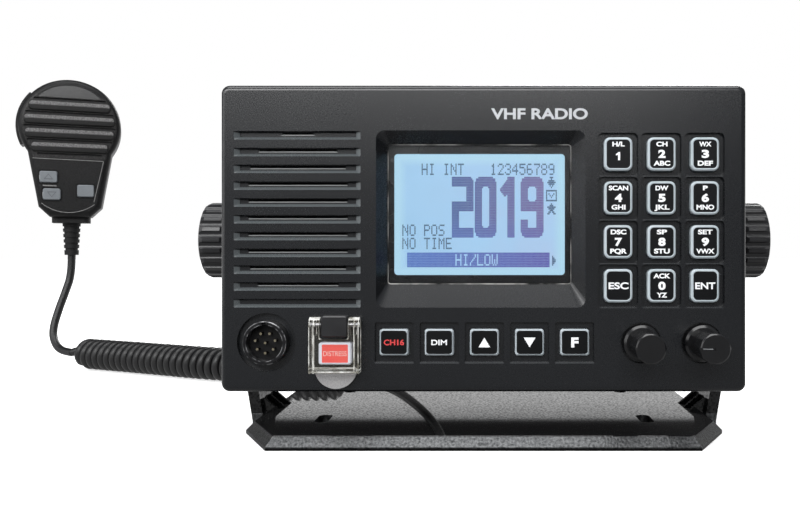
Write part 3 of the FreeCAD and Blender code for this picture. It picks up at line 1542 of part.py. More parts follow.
def make_mic_shells():
    """The microphone's two shells; the front one has the slats and the key openings."""
    front = in_mic("mic_front_shell")
    outer = front.sketch("XZ", -d.mic_front)
    mic_outline(outer, as_size(0))
    front.pad(outer, d.mic_front)
    front.fillet(d.mic_front_round, level("Y", -d.mic_front))
    inner = front.sketch("XZ", d.mic_wall - d.mic_front)
    mic_outline(inner, d.mic_wall)
    front.cut(inner, d.mic_front)
    slats = front.sketch("XZ", -d.mic_front - d.slat_rise)
    for number in range(SIZES["slat_gaps"] - 1):
        z = d.slat_middle + d.slat_pitch * (number - (d.slat_gaps - 2) / 2)
        rectangle(slats, 0, z, 2 * chord(d.slat_field_radius, z), d.slat_height, d.slat_corner)
    front.pad(slats, d.slat_rise + d.slat_sink)
    front.chamfer(d.slat_edge, level("Y", -d.mic_front - d.slat_rise))
    gaps = front.sketch("XZ", -d.mic_front)
    for number in range(SIZES["slat_gaps"]):
        z = d.slat_middle + d.slat_pitch * (number - (d.slat_gaps - 1) / 2)
        rectangle(gaps, 0, z, 2 * chord(d.slat_field_radius, z), d.slat_gap, d.key_edge)
    front.cut(gaps, d.slat_gap_depth)
    for _, x, z, width, height in mic_keys():
        opening = front.sketch("XZ", -d.mic_front)
        rectangle(opening, x, z, width + 2 * d.running_gap, height + 2 * d.running_gap,
                  d.mic_key_corner + d.running_gap)
        front.cut(opening, d.mic_wall + d.running_gap)
    half_bay = d.ptt_width / 2 + d.running_gap
    cut_ptt_bay(front, -half_bay, half_bay)

    rear = in_mic("mic_rear_shell")
    outer = rear.sketch("XZ")
    mic_outline(outer, as_size(0))
    rear.pad(outer, d.mic_rear)
    rear.chamfer(d.mic_rear_bevel, level("Y", d.mic_rear))
    inner = rear.sketch("XZ")
    mic_outline(inner, d.mic_wall)
    rear.cut(inner, d.mic_rear - d.mic_wall)
    cut_ptt_bay(rear, 0, half_bay)


def make_mic_parts():
    """The push-to-talk bar, front keys, capsule and hang-up button of the microphone."""
    ptt = in_mic("mic_ptt")
    bar = ptt.sketch("XZ", -d.ptt_width / 2)
    ptt_sector(bar, d.ptt_outer_radius - d.ptt_thickness, d.ptt_outer_radius, d.ptt_from,
               d.ptt_to)
    ptt.pad(bar, d.ptt_width)
    for name, x, z, width, height in mic_keys():
        key = in_mic(name, x, -d.mic_front, z)
        cap = key.sketch("XZ", -d.mic_key_stand)
        rectangle(cap, 0, 0, width, height, d.mic_key_corner)
        key.pad(cap, d.mic_key_stand + d.mic_wall + d.running_gap)
        flange = key.sketch("XZ", d.mic_wall + d.running_gap)
        rectangle(flange, 0, 0, width, height + 2 * d.mic_key_lap, d.mic_key_corner)
        key.pad(flange, d.mic_key_lap)
        key.chamfer(d.key_edge, level("Y", -d.mic_key_stand))
    capsule = in_mic("mic_capsule", 0, d.mic_wall - d.mic_front, 0)
    can = capsule.sketch("XZ")
    circle(can, 0, 0, d.capsule_diameter)
    capsule.pad(can, d.capsule_depth)
    hang = in_mic("mic_hang_button", 0, d.mic_rear, -d.hang_drop)
    profile = hang.sketch("XY")
    neck = d.hang_neck / 2
    head = d.hang_head / 2
    end = d.hang_neck_length + d.hang_head_length
    outline(profile, [(0, 0), (neck, 0), (neck, d.hang_neck_length), (head, d.hang_neck_length),
                      (head, end - d.clamp_edge), (head - d.clamp_edge, end), (0, end)])
    hang.turned(profile, "V_Axis")


def make_boot():
    """The collar under the microphone and the ribbed boot that the cord leaves by."""
    boot = in_mic("cord_boot", 0, 0, -d.mic_foot_drop)
    collar = boot.sketch("XY", -d.boot_collar_height)
    rectangle(collar, 0, 0, d.boot_collar_width, d.boot_collar_depth, d.boot_collar_height)
    boot.pad(collar, d.boot_collar_height)
    profile = boot.sketch("XZ")
    top = -d.boot_collar_height
    end = top - d.boot_length
    outline(profile, [(0, top)]
            + ringed(top, end, d.boot_top / 2, d.boot_end / 2, d.boot_ring_pitch,
                     d.boot_ring_groove, SIZES["boot_rings"])
            + [(0, end)])
    boot.turned(profile, "V_Axis")


# The cord's route. The coil lies on the surface that the bracket stands on; its thin ends
# rise to the microphone's boot and to the gland on the radio's back.
COIL_ROUTE = [(-250.0, 153.2), (-200.0, 129.5), (-143.0, 99.5), (-100.0, 89.0), (-66.0, 90.0)]
MIC_TAIL_ROUTE = [
    (-260.8, 174.0, 56.0), (-263.1, 170.9, 45.0), (-265.9, 168.3, 34.5), (-268.1, 164.8, 21.7),
    (-264.9, 161.2, 13.8), (-258.2, 157.1, 9.2),
]
RADIO_TAIL_ROUTE = [
    (-56.0, 90.3, 9.2), (-44.6, 95.3, 15.2), (-30.5, 101.0, 28.4), (-23.2, 94.7, 38.1),
    (-21.5, 83.8, 42.8), (-25.0, 73.0, 42.0),
]
ARC_SHARE = 0.45


def rounded_route(name, points):
    """Straight runs joined by tangent arcs, each as large as its two runs allow."""
    edges = []
    radii = []
    start = points[0]
    for before, corner, after in zip(points, points[1:], points[2:]):
        back = before - corner
        ahead = after - corner
        reach = ARC_SHARE * min(back.Length, ahead.Length)
        half_turn = (math.pi - back.getAngle(ahead)) / 2
        radius = reach / math.tan(half_turn)
        back.normalize()
        ahead.normalize()
        inward = back + ahead
        inward.normalize()
        entry = corner + back * reach
        middle = corner + inward * (radius / math.cos(half_turn) - radius)
        leave = corner + ahead * reach
        edges.append(Part.LineSegment(start, entry).toShape())
        edges.append(Part.Arc(entry, middle, leave).toShape())
        radii.append(round(radius, 1))
        start = leave
    edges.append(Part.LineSegment(start, points[-1]).toShape())
    print(name, "bend radii", radii)
    return Part.Wire(edges)


def make_tube(name, diameter, points):
    """A round tube along a route, as one solid whose volume is its section times its length."""
    points = [FreeCAD.Vector(*point) for point in points]
    wire = rounded_route(name, points)
    ring = Part.Wire(Part.makeCircle(diameter / 2, points[0], points[1] - points[0]))
    solid = wire.makePipeShell([ring], True, True)
    expected = math.pi * diameter ** 2 / 4 * wire.Length
    if abs(solid.Volume - expected) > expected / 100:
        raise RuntimeError(f"{name}: volume {solid.Volume:.0f} against {expected:.0f}")
    item = doc.addObject("Part::Feature", name)
    item.Label = name
    item.Shape = solid
    item.Placement = FreeCAD.Placement()


def make_cord():
    """The curly cord as the outer shape of its coil, with a thin tail at each end."""
    boot_end = d.mic_z - d.mic_foot_drop - d.boot_collar_height - d.boot_length
    gland_end = d.chassis_reach + d.gland_reach
    mic_end = (d.mic_x.value, d.mic_y.value, boot_end.value)
    radio_end = (d.gland_x.value, gland_end.value, (d.pivot_height + d.rear_z).value)
    lift = sheet.get("coil_lift")
    unit = sheet.get("route_unit")
    coil = [(unit * x, unit * y, lift) for x, y in COIL_ROUTE]
    mic_route = [tuple(unit * length for length in point) for point in MIC_TAIL_ROUTE]
    radio_route = [tuple(unit * length for length in point) for point in RADIO_TAIL_ROUTE]
    thin = sheet.get("cord_diameter")
    make_tube("cord_mic_tail", thin, [mic_end] + mic_route + [coil[0]])
    make_tube("cord_curly", sheet.get("coil_diameter"), coil)
    make_tube("cord_radio_tail", thin, [coil[-1]] + radio_route + [radio_end])


NODES = [
    "bracket", "clamp_knob_left", "clamp_knob_right", "clamp_stud_left", "clamp_stud_right",
    "friction_washers", "front_panel", "panel_gasket", "chassis", "case_screws",
    "display_window", "lcd_module", "speaker_basket", "speaker_cone", "key_board",
    "keypad_mat", "main_board", *[name for row in KEY_NAMES for name in row], *ROW_KEY_NAMES,
    "distress_button", "distress_cover", "distress_hinge_block", "distress_hinge_pin",
    "socket_shell", "socket_insert", "socket_pins", "volume_knob", "channel_knob",
    "rotary_controls", "antenna_socket", "power_inlet", "cord_gland", "mic_front_shell",
    "mic_rear_shell", "mic_ptt", "mic_key_up", "mic_key_down", "mic_key_side", "mic_capsule",
    "mic_hang_button", "cord_boot", "cord_mic_tail", "cord_curly", "cord_radio_tail",
]


def check_document():
    """Stop on a failed object, or on a cut that takes nothing away."""
    for item in doc.Objects:
        if "Invalid" in item.State or "Error" in item.State:
            raise RuntimeError(f"{item.Name}: {item.State}")
        cuts = ("PartDesign::Pocket", "PartDesign::SubtractiveLoft")
        base = getattr(item, "BaseFeature", None)
        if item.TypeId in cuts and base and item.Shape.Volume > base.Shape.Volume - 0.01:
            raise RuntimeError(f"{item.Name} cuts nothing")


def write_parts():
    os.makedirs("parts", exist_ok=True)
    for name in NODES:
        shape = doc.getObjectsByLabel(name)[0].Shape
        if shape.isNull() or not shape.isValid():
            raise RuntimeError(f"{name} is not a valid solid")
        shape.exportStep(f"parts/{name}.step")


make_bracket()
make_clamp_knob("left", 180, -1)
make_clamp_knob("right", 0, 1)
make_friction_washers()
make_front_panel()
make_gasket()
make_chassis()
make_case_screws()
make_display()
make_keys()
make_key_board()
make_main_board()
make_speaker()
make_distress_key()
make_front_socket()
make_rotary_knob("channel_knob", d.knob_left_x, pointer=False)
make_rotary_knob("volume_knob", d.knob_right_x, pointer=True)
make_controls()
make_rear_sockets()
make_mic_shells()
make_mic_parts()
make_boot()
make_cord()
doc.recompute()
check_document()
write_parts()
print(len(NODES), "parts written")
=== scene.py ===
import math
import bpy
import numpy as np
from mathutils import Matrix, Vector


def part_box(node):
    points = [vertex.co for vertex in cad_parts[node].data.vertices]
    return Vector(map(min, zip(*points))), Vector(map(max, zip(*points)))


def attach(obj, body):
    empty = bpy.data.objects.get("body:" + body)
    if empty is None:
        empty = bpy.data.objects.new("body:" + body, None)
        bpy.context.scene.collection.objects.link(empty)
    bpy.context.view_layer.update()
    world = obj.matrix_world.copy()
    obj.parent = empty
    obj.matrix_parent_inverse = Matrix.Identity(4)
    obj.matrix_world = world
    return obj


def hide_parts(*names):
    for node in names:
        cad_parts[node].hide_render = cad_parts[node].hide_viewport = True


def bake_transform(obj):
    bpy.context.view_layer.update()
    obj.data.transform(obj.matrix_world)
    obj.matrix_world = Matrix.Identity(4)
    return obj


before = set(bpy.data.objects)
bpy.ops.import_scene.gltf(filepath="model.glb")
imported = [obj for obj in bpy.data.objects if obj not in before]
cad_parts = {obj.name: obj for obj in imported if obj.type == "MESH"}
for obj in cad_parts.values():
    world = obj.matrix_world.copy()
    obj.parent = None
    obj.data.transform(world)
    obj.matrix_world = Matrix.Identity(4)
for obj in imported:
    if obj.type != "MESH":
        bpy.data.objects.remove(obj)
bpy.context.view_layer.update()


# Bracket. A bent and ribbed U of aluminium that the radio hangs in, screwed down through four
# slots. It is powder coated in semi-gloss black, so its skin has a fine orange peel.
MM = 0.001
BEVEL_TOP = 4.5 * MM
RIM_TOP = 1.0 * MM


class Wire:
    """A socket of a shader tree. Arithmetic on wires and numbers adds the Math nodes for it."""

    def __init__(self, tree, socket=None):
        self.tree = tree
        self.socket = socket

    def node(self, kind, settings=None, sockets=None, output=0):
        """Add a node: first its settings, such as a Math node's operation, then its sockets."""
        made = self.tree.nodes.new("ShaderNode" + kind)
        for name, value in (settings or {}).items():
            setattr(made, name, value)
        for name, value in (sockets or {}).items():
            if isinstance(value, Wire):
                self.tree.links.new(value.socket, made.inputs[name])
            else:
                made.inputs[name].default_value = value
        return Wire(self.tree, made.outputs[output])

    def beside(self, name):
        """Another output of the same node."""
        return Wire(self.tree, self.socket.node.outputs[name])

    def axes(self):
        """The X, Y and Z of a place."""
        split = self.node("SeparateXYZ", None, {"Vector": self})
        return [split.beside(axis) for axis in "XYZ"]

    def maths(self, operation, *values):
        """A Math node on wires and numbers."""
        return self.node("Math", {"operation": operation}, dict(enumerate(values)))

    def __add__(self, other):
        return self.maths("ADD", self, other)

    def __sub__(self, other):
        return self.maths("SUBTRACT", self, other)

    def __rsub__(self, other):
        return self.maths("SUBTRACT", other, self)

    def __mul__(self, other):
        return self.maths("MULTIPLY", self, other)

    __radd__ = __add__
    __rmul__ = __mul__

    def size(self):
        return self.maths("ABSOLUTE", self)

    def most(self, other):
        return self.maths("MAXIMUM", self, other)

    def span(self, other):
        """The long side of the right-angled triangle that has these two as its short sides."""
        return self.maths("SQRT", self * self + other * other)

    def ramp(self, low, high):
        """0 at low, 1 at high, and a straight line between."""
        if low > high:
            return 1 - self.ramp(high, low)
        return self.node("MapRange", {"clamp": True}, {0: self, 1: low, 2: high})

    def mix(self, first, second):
        """The colour first where this is 0, second where it is 1."""
        return self.node("Mix", {"data_type": "RGBA"}, {0: self, 6: first, 7: second}, 2)


def tone(red, green, blue):
    """A screen colour of 0 to 255 as the linear colour that a shader works with."""
    screen = np.array([red, green, blue]) / 255
    linear = np.where(screen <= 0.04045, screen / 12.92, ((screen + 0.055) / 1.055) ** 2.4)
    return (*linear.tolist(), 1.0)


def new_finish(name, colour, constants):
    """A material of one Principled shader with its constants set on their own sockets. Gives
    the material, the place on the piece as a wire, and the shader."""
    material = bpy.data.materials.new(name)
    material.use_nodes = True
    shader = material.node_tree.nodes["Principled BSDF"]
    shader.inputs["Base Color"].default_value = colour
    for socket, value in constants.items():
        shader.inputs[socket].default_value = value
    spot = Wire(material.node_tree).node("TexCoord", output="Object")
    return material, spot, shader


def feed(shader, changing):
    """Link wires to the shader's sockets whose value changes over the surface."""
    for socket, wire in changing.items():
        wire.tree.links.new(wire.socket, shader.inputs[socket])


def cloud(spot, size, detail=2.0, rough=0.5):
    """Noise from 0 to 1 whose blobs are about `size` metres across."""
    return spot.node("TexNoise", None, {"Vector": spot, "Scale": 1 / size, "Detail": detail,
                                        "Roughness": rough})


def relief(height, depth):
    """A normal that rises by `depth` metres where height goes from 0 to 1."""
    return height.node("Bump", None, {"Height": height, "Distance": depth})


def dress(material, *names):
    """Give CAD nodes their finish."""
    for name in names:
        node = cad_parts[name]
        node.data.materials.clear()
        node.data.materials.append(material)


coat, spot, shader = new_finish(
    "powder_coat", tone(24, 25, 26),
    {"IOR": 1.5, "Specular IOR Level": 0.12, "Coat IOR": 1.5, "Coat Roughness": 0.03})
peel = cloud(spot, 0.9 * MM, 3.0)
patch = cloud(spot, 22 * MM)
height = spot.axes()[2]
# The base's top, the ribs and the arms are glossy. The bevel round the base shows the peel as a
# bright flake, and the rim below the bevel is darker.
upper = height.ramp(BEVEL_TOP - 0.1 * MM, BEVEL_TOP + 0.1 * MM)
rim = height.ramp(RIM_TOP + 0.2 * MM, RIM_TOP - 0.2 * MM)
flake = (peel.ramp(0.3, 0.7) * 0.8 + 0.2 * patch).mix(tone(44, 45, 46), tone(112, 113, 114))
feed(shader, {
    "Base Color": upper.mix((0.85 * rim).mix(flake, tone(4, 4, 4)),
                            peel.mix(tone(6, 6, 7), tone(14, 14, 15))),
    "Metallic": 1 - upper,
    "Roughness": (0.28 + 0.1 * patch).most(0.95 * upper),
    "Coat Weight": upper * peel.ramp(0.22, 0.58),
    "Normal": relief(peel * (1 - 0.965 * upper), 0.22 * MM)})
dress(coat, "bracket")


# Clamp knobs, studs and washers. Two fluted black knobs are moulded on steel studs, which run
# through the bracket's arms and rubber washers into the chassis and hold the radio's tilt.
def mottled(name, first, second, size, roughness, detail=2.0, constants=None, grain=None):
    """A finish that wanders between two screen colours in blobs of `size` metres, while its
    roughness wanders between two values. A grain is a finer relief, given as the size and the
    detail of its noise and its depth."""
    material, spot, shader = new_finish(name, tone(*first), constants or {})
    drift = cloud(spot, size, detail)
    changing = {"Base Color": drift.mix(tone(*first), tone(*second)),
                "Roughness": roughness[0] + (roughness[1] - roughness[0]) * drift}
    if grain:
        changing["Normal"] = relief(cloud(spot, *grain[:2]), grain[2])
    feed(shader, changing)
    return material


knob_skin = mottled("knob_moulding", (26, 26, 28), (37, 37, 39), 6 * MM, (0.25, 0.37),
                    grain=(0.35 * MM, 3.0, 0.012 * MM))
dress(knob_skin, "clamp_knob_left", "clamp_knob_right")

steel, spot, shader = new_finish("turned_steel", tone(176, 176, 178), {"Metallic": 1.0})
turning = cloud(spot.node("Mapping", None, {"Vector": spot, "Scale": (9.0, 1.0, 1.0)}),
                1.2 * MM, 1.0)
feed(shader, {
    "Base Color": turning.mix(tone(158, 158, 160), tone(188, 188, 190)),
    "Roughness": 0.24 + 0.2 * turning,
    "Normal": relief(turning, 0.008 * MM)})
dress(steel, "clamp_stud_left", "clamp_stud_right", "case_screws", "rotary_controls",
      "distress_hinge_pin")

rubber = mottled("black_rubber", (10, 10, 11), (24, 24, 25), 3 * MM, (0.55, 0.8), detail=4.0,
                 constants={"Specular IOR Level": 0.35}, grain=(0.5 * MM, 2.0, 0.015 * MM))
dress(rubber, "friction_washers", "panel_gasket", "cord_gland", "cord_boot", "keypad_mat")


# Chassis. A die-cast box with cooling fins, sealed to the back of the panel by four screws. It
# is painted matt black over the casting's slightly pitted skin.
casting, spot, shader = new_finish(
    "cast_paint", tone(24, 24, 25), {"Specular IOR Level": 0.12})
pits = cloud(spot, 0.9 * MM, 5.0, 0.6)
stain = cloud(spot, 30 * MM)
feed(shader, {
    "Base Color": stain.mix(tone(24, 24, 25), tone(38, 38, 40)),
    "Roughness": 0.5 + 0.3 * pits,
    "Normal": relief(pits, 0.04 * MM)})
dress(casting, "chassis")


# Boards. The main board lies on rails in the chassis and the key board stands behind the panel.
# Both are green lacquered glass fibre with paler copper tracks under the lacquer.
TRACKS_PER_METRE = 260.0
board, spot, shader = new_finish("board_lacquer", tone(32, 96, 62), {"IOR": 1.5})
cells = spot.node("TexVoronoi", {"distance": "CHEBYCHEV"},
                  {"Vector": spot, "Scale": TRACKS_PER_METRE})
land = cells.ramp(0.28, 0.34)
feed(shader, {
    "Base Color": land.mix(tone(58, 128, 84), tone(26, 84, 54)),
    "Roughness": 0.3 + 0.1 * land,
    "Normal": relief(land, 0.03 * MM)})
dress(board, "main_board", "key_board")


# Speaker. A cone of black felted paper is glued to the rim of a steel basket, which is painted
# black like the chassis.
paper, spot, shader = new_finish("cone_felt", tone(30, 30, 30), {"Specular IOR Level": 0.2})
felt = cloud(spot, 0.5 * MM, 6.0, 0.7)
feed(shader, {
    "Base Color": felt.mix(tone(18, 18, 18), tone(42, 42, 42)),
    "Roughness": 0.8 + 0.2 * felt,
    "Normal": relief(felt, 0.05 * MM)})
dress(paper, "speaker_cone")
dress(casting, "speaker_basket")


# Front panel. One charcoal moulding with a fine spark grain, which carries the louvres, the
# display's sloped frame, the key wells and the rings for socket and knobs. Highlights are painted
# in its colour on the sills of the louvres, the lips of their slits and of the key wells and row
# keys.
PANEL_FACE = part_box("front_panel")[0][1]
SPEAKER_X, SPEAKER_Z = -66.4 * MM, 82.05 * MM
TROUGH_FACE = -55.9 * MM
TROUGH_HALF_HEIGHT = 31.7 * MM
LOUVRE_PITCH = 5.98 * MM
LOUVRE_HALF = 22.65 * MM
SILL_HALF = 20.8 * MM
SLIT_FOOT, SLAT_FOOT = -0.425 * MM, 1.1 * MM
SLIT_RADIUS, SLIT_STRAIGHT = 17.75 * MM, 13.4 * MM
SLIT_SHADE_TOP = 54.5 * MM
KEY_COLUMNS = [place * MM for place in (47.9, 63.3, 78.7)]
KEY_ROWS = [place * MM for place in (105.2, 89.6, 74.0, 58.4)]
KEY_PITCH = (15.4 * MM, 15.6 * MM)
KEY_LIP_HALF = 6.55 * MM
KEYPAD_HALF_WIDTH = 23.05 * MM
KEYPAD_FOOT, KEYPAD_TOP = 50.1 * MM, 112.3 * MM
ROW_PLACES = [place * MM for place in (-31.8, -15.75, 0.3, 16.35, 32.4)]
ROW_PITCH = 16.05 * MM
ROW_Z = 38.3 * MM
ROW_HALF_WIDTH = 39.3 * MM
ROW_LIP_DROP, ROW_LIP_HALF = 7.35 * MM, 6.9 * MM
INK = 0.03 * MM


def stripe(along, middle, half):
    """1 within `half` metres of `middle`, with a line down to 0 over three tenths of that to
    each side of it."""
    return (along - middle).size().ramp(half * 1.3, half * 0.7)


def within(along, edge, soft):
    """1 up to the edge and 0 beyond it, with a line between over `soft` metres to each side."""
    return along.ramp(edge + soft, edge - soft)


def beyond(along, edge, soft):
    """0 up to the edge and 1 beyond it, with a line between over `soft` metres to each side."""
    return along.ramp(edge - soft, edge + soft)


def wrapped(along, first, step):
    """The place along an axis, from the nearest of a row of places `step` apart with one of
    them at `first`."""
    return along.maths("WRAP", along - first, step / 2, -step / 2)


panel_skin, spot, shader = new_finish(
    "panel_moulding", tone(24, 26, 29), {"Specular IOR Level": 0.6})
spark = cloud(spot, 0.3 * MM, 3.0)
drift = cloud(spot, 45 * MM)
x, y, z = spot.axes()
aside = (x - SPEAKER_X).size()
height = (z - SPEAKER_Z).size()
rise = wrapped(z, SPEAKER_Z, LOUVRE_PITCH)
trough = (y.ramp(TROUGH_FACE - 0.07 * MM, TROUGH_FACE)
          * aside.ramp(LOUVRE_HALF + 0.1 * MM, LOUVRE_HALF)
          * within(height, TROUGH_HALF_HEIGHT, 0.1 * MM))
# Painted highlights: lighter colour on the sills of the louvres, the upper lips of their slits,
# and the lips below the key wells and the row keys.
sill_highlight = (trough * within(rise, SLIT_FOOT, 0.075 * MM).most(beyond(aside, SILL_HALF, 0.1 * MM))
        * within(rise, SLAT_FOOT, 0.1 * MM))
bend = (height - SLIT_STRAIGHT).most(0.0)
oblong = (aside * aside + bend * bend).ramp(SLIT_RADIUS ** 2, SLIT_RADIUS ** 2 * 0.98)
slit_lip_highlight = trough * oblong * stripe(rise, 0.22 * MM, 0.2 * MM)
key_lip_highlight = (stripe(wrapped(z, KEY_ROWS[0] - KEY_PITCH[1] / 2, KEY_PITCH[1]), 0.0, 0.22 * MM)
           * within(wrapped(x, KEY_COLUMNS[0], KEY_PITCH[0]).size(), KEY_LIP_HALF, 0.35 * MM)
           * within((x - KEY_COLUMNS[1]).size(), KEYPAD_HALF_WIDTH, 0.05 * MM)
           * beyond(z, KEYPAD_FOOT, 0.1 * MM) * within(z, KEYPAD_TOP, 0.1 * MM))
row_lip_highlight = (stripe(z, ROW_Z - ROW_LIP_DROP, 0.28 * MM)
           * within(wrapped(x, ROW_PLACES[0], ROW_PITCH).size(), ROW_LIP_HALF, 0.1 * MM)
           * within((x - ROW_PLACES[2]).size(), ROW_HALF_WIDTH, 0.1 * MM))
skin = (0.6 * drift + 0.4 * spark).mix(tone(9, 11, 14), tone(17, 19, 23))
# The sills and, above SLIT_SHADE_TOP, the slits' lips get painted highlights; the lowest slit, in
# the shade, gets none.
skin = (0.9 * sill_highlight).mix(skin, tone(92, 97, 99))
skin = (slit_lip_highlight * beyond(z, SLIT_SHADE_TOP, 1.0 * MM)).mix(skin, tone(136, 138, 138))
feed(shader, {
    "Base Color": (0.75 * key_lip_highlight).most(row_lip_highlight).mix(skin, tone(60, 62, 64)),
    "Roughness": 0.235 + 0.035 * spark + 0.035 * drift,
    "Normal": relief(spark, 0.0025 * MM)})
dress(panel_skin, "front_panel")


def letters(text, middle, face, height, width, weight=0.03):
    """A line of capitals as points and faces. The outline is drawn flat, scaled so that a
    capital is `height` high and the line `width` wide about `middle` (x, z), and stood upright
    with its front INK above the plane y = face and its back as far below. A bevel of `weight`
    letter heights makes it bolder."""
    drawn = {}
    for line in ("H", text):
        font = bpy.data.curves.new("draft", "FONT")
        font.body = line
        font.bevel_depth = weight
        font.bevel_resolution = 0
        font.extrude = 0.5
        draft = bpy.data.objects.new("draft", font)
        bpy.context.scene.collection.objects.link(draft)
        mesh = bpy.data.meshes.new_from_object(draft)
        points = np.empty(len(mesh.vertices) * 3)
        mesh.vertices.foreach_get("co", points)
        drawn[line] = points.reshape(-1, 3), [tuple(polygon.vertices) for polygon in mesh.polygons]
        bpy.data.objects.remove(draft)
        bpy.data.meshes.remove(mesh)
        bpy.data.curves.remove(font)
    capital = drawn["H"][0]
    flat, faces = drawn[text]
    low, high = flat.min(0), flat.max(0)
    foot, top = capital[:, 1].min(), capital[:, 1].max()
    across = (flat[:, 0] - (low[0] + high[0]) / 2) * width / (high[0] - low[0])
    up = (flat[:, 1] - (foot + top) / 2) * height / (top - foot)
    deep = -np.sign(flat[:, 2]) * INK
    return np.stack([middle[0] + across, face + deep, middle[1] + up], axis=1), faces


def joined(name, parts, material, body):
    """One object from lists of points and faces, each list's faces numbered on from the last."""
    points = np.concatenate([part[0] for part in parts])
    starts = np.cumsum([0] + [len(part[0]) for part in parts[:-1]])
    faces = [tuple(start + corner for corner in face)
             for start, part in zip(starts.tolist(), parts) for face in part[1]]
    mesh = bpy.data.meshes.new(name)
    mesh.from_pydata(points.tolist(), [], faces)
    mesh.materials.append(material)
    piece = bpy.data.objects.new(name, mesh)
    bpy.context.scene.collection.objects.link(piece)
    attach(piece, body)


white_ink = mottled("white_ink", (238, 240, 243), (252, 253, 254), 0.8 * MM, (0.4, 0.6),
                    detail=4.0, constants={"Specular IOR Level": 0.4})
grey_ink = mottled("grey_ink", (170, 172, 176), (208, 210, 214), 0.8 * MM, (0.4, 0.6),
                   detail=4.0, constants={"Specular IOR Level": 0.4})
joined("panel_words",
       [letters("VHF RADIO", (19.9 * MM, 119.6 * MM), PANEL_FACE, 3.9 * MM, 34.4 * MM)],
       grey_ink, "radio")


# Display module and window. The panel is glued over a graphic display of 128 by 64 dots with a
# pale blue backlight. A clear window with a black border printed on its back covers it.
SCREEN = np.array([-1.5, 84.0]) * MM
SCREEN_SIZE = np.array([64.0, 46.0]) * MM
FIELD_HALF = (28.0 * MM, 19.0 * MM)
LIGHT_Y = -48.25 * MM
DOT_Y = -48.32 * MM
DOTS_ACROSS, DOTS_DOWN = 128, 64
DOT_PITCH = np.array([0.44, 0.6]) * MM
DOT_SHARE = 0.9
CORNER_STEPS = 8
LETTER_ROWS = {
    "H": (17, 17, 17, 31, 17, 17, 17), "I": (14, 4, 4, 4, 4, 4, 14),
    "N": (17, 25, 21, 21, 19, 17, 17), "T": (31, 4, 4, 4, 4, 4, 4),
    "O": (14, 17, 17, 17, 17, 17, 14), "P": (30, 17, 17, 30, 16, 16, 16),
    "S": (15, 16, 16, 14, 1, 1, 30), "M": (17, 27, 21, 21, 17, 17, 17),
    "E": (31, 16, 16, 30, 16, 16, 31), "L": (16, 16, 16, 16, 16, 16, 31),
    "W": (17, 17, 17, 21, 21, 21, 10), "/": (1, 1, 2, 4, 8, 16, 16),
    "1": (4, 12, 4, 4, 4, 4, 14), "2": (14, 17, 1, 2, 4, 8, 31),
    "3": (14, 17, 1, 6, 1, 17, 14), "4": (2, 6, 10, 18, 31, 2, 2),
    "5": (31, 16, 30, 1, 1, 17, 14), "6": (14, 16, 16, 30, 17, 17, 14),
    "7": (31, 1, 2, 4, 4, 4, 4), "8": (14, 17, 17, 14, 17, 17, 14),
    "9": (14, 17, 17, 15, 1, 1, 14), " ": (0, 0, 0, 0, 0, 0, 0),
}
ICON_ROWS = (
    (119, 9, ("...###...", "....#....", "..#####..", ".#######.", "..#####..", "...#.#...",
              "....#....")),
    (119, 17, ("#########", "#.......#", "#.#...#.#", "#..#.#..#", "#...#...#", "#.......#",
               "#########")),
    (119, 25, ("....#....", "...###...", ".#######.", "..#####..", "...###...", "..##.##..",
               ".##...##.")),
    (124, 57, ("#..", "##.", "###", "###", "##.", "#..")),
)
dot_column, dot_row = np.meshgrid(np.arange(DOTS_ACROSS), np.arange(DOTS_DOWN))


def block(left, top, right, bottom, corner=0.0):
    """Dots from left to right and top to bottom, except those further than `corner` from the
    middle of the rounding in each corner."""
    half_width, half_height = (right - left) / 2 + 0.5, (bottom - top) / 2 + 0.5
    across = np.abs(dot_column - (left + right) / 2) - (half_width - corner)
    down = np.abs(dot_row - (top + bottom) / 2) - (half_height - corner)
    outside = np.hypot(np.maximum(across, 0), np.maximum(down, 0))
    return outside + np.minimum(np.maximum(across, down), 0) < corner


def small_words(text, left, top):
    """Dots of a line of small letters, each five wide and seven high in a cell of six."""
    shown = np.zeros(dot_column.shape, bool)
    for place, letter in enumerate(text):
        rows = np.array(LETTER_ROWS[letter])[:, None] >> np.arange(4, -1, -1) & 1
        start = left + 6 * place
        shown[top:top + 7, start:start + 5] |= rows.astype(bool)
    return shown


# The figures 2, 0, 1 and 9, in dots counted from the top left.
figure_two = (block(41, 9, 58, 29, 4) & ~block(41, 15, 52, 23)
              | block(41, 24, 58, 45, 4) & ~block(47, 30, 58, 39)
              | block(41, 9, 48, 14) | block(41, 40, 58, 45))
figure_nought = block(60, 9, 77, 45, 5) & ~block(66, 15, 71, 39, 2)
slant = dot_column + dot_row
figure_one = (block(87, 9, 92, 45)
              | block(81, 9, 88, 20) & (slant >= 97) & (slant <= 105)
              & (dot_row - dot_column <= -64))
figure_nine = ((block(98, 9, 116, 29, 5) | block(98, 20, 116, 45, 5) & ~block(98, 30, 110, 39)
                | block(98, 35, 103, 41)) & ~block(104, 15, 110, 23, 2))
figures = (figure_two | figure_nought | figure_one | figure_nine
           | block(4, 55, 121, 63) & ~small_words("HI/LOW", 44, 56))
words = (small_words("HI INT", 16, 1) | small_words("123456789", 73, 1)
         | small_words("NO POS", 0, 38) | small_words("NO TIME", 0, 46))
for icon_left, icon_top, icon in ICON_ROWS:
    picture = np.array([[mark == "#" for mark in row] for row in icon])
    words[icon_top:icon_top + picture.shape[0],
          icon_left:icon_left + picture.shape[1]] |= picture


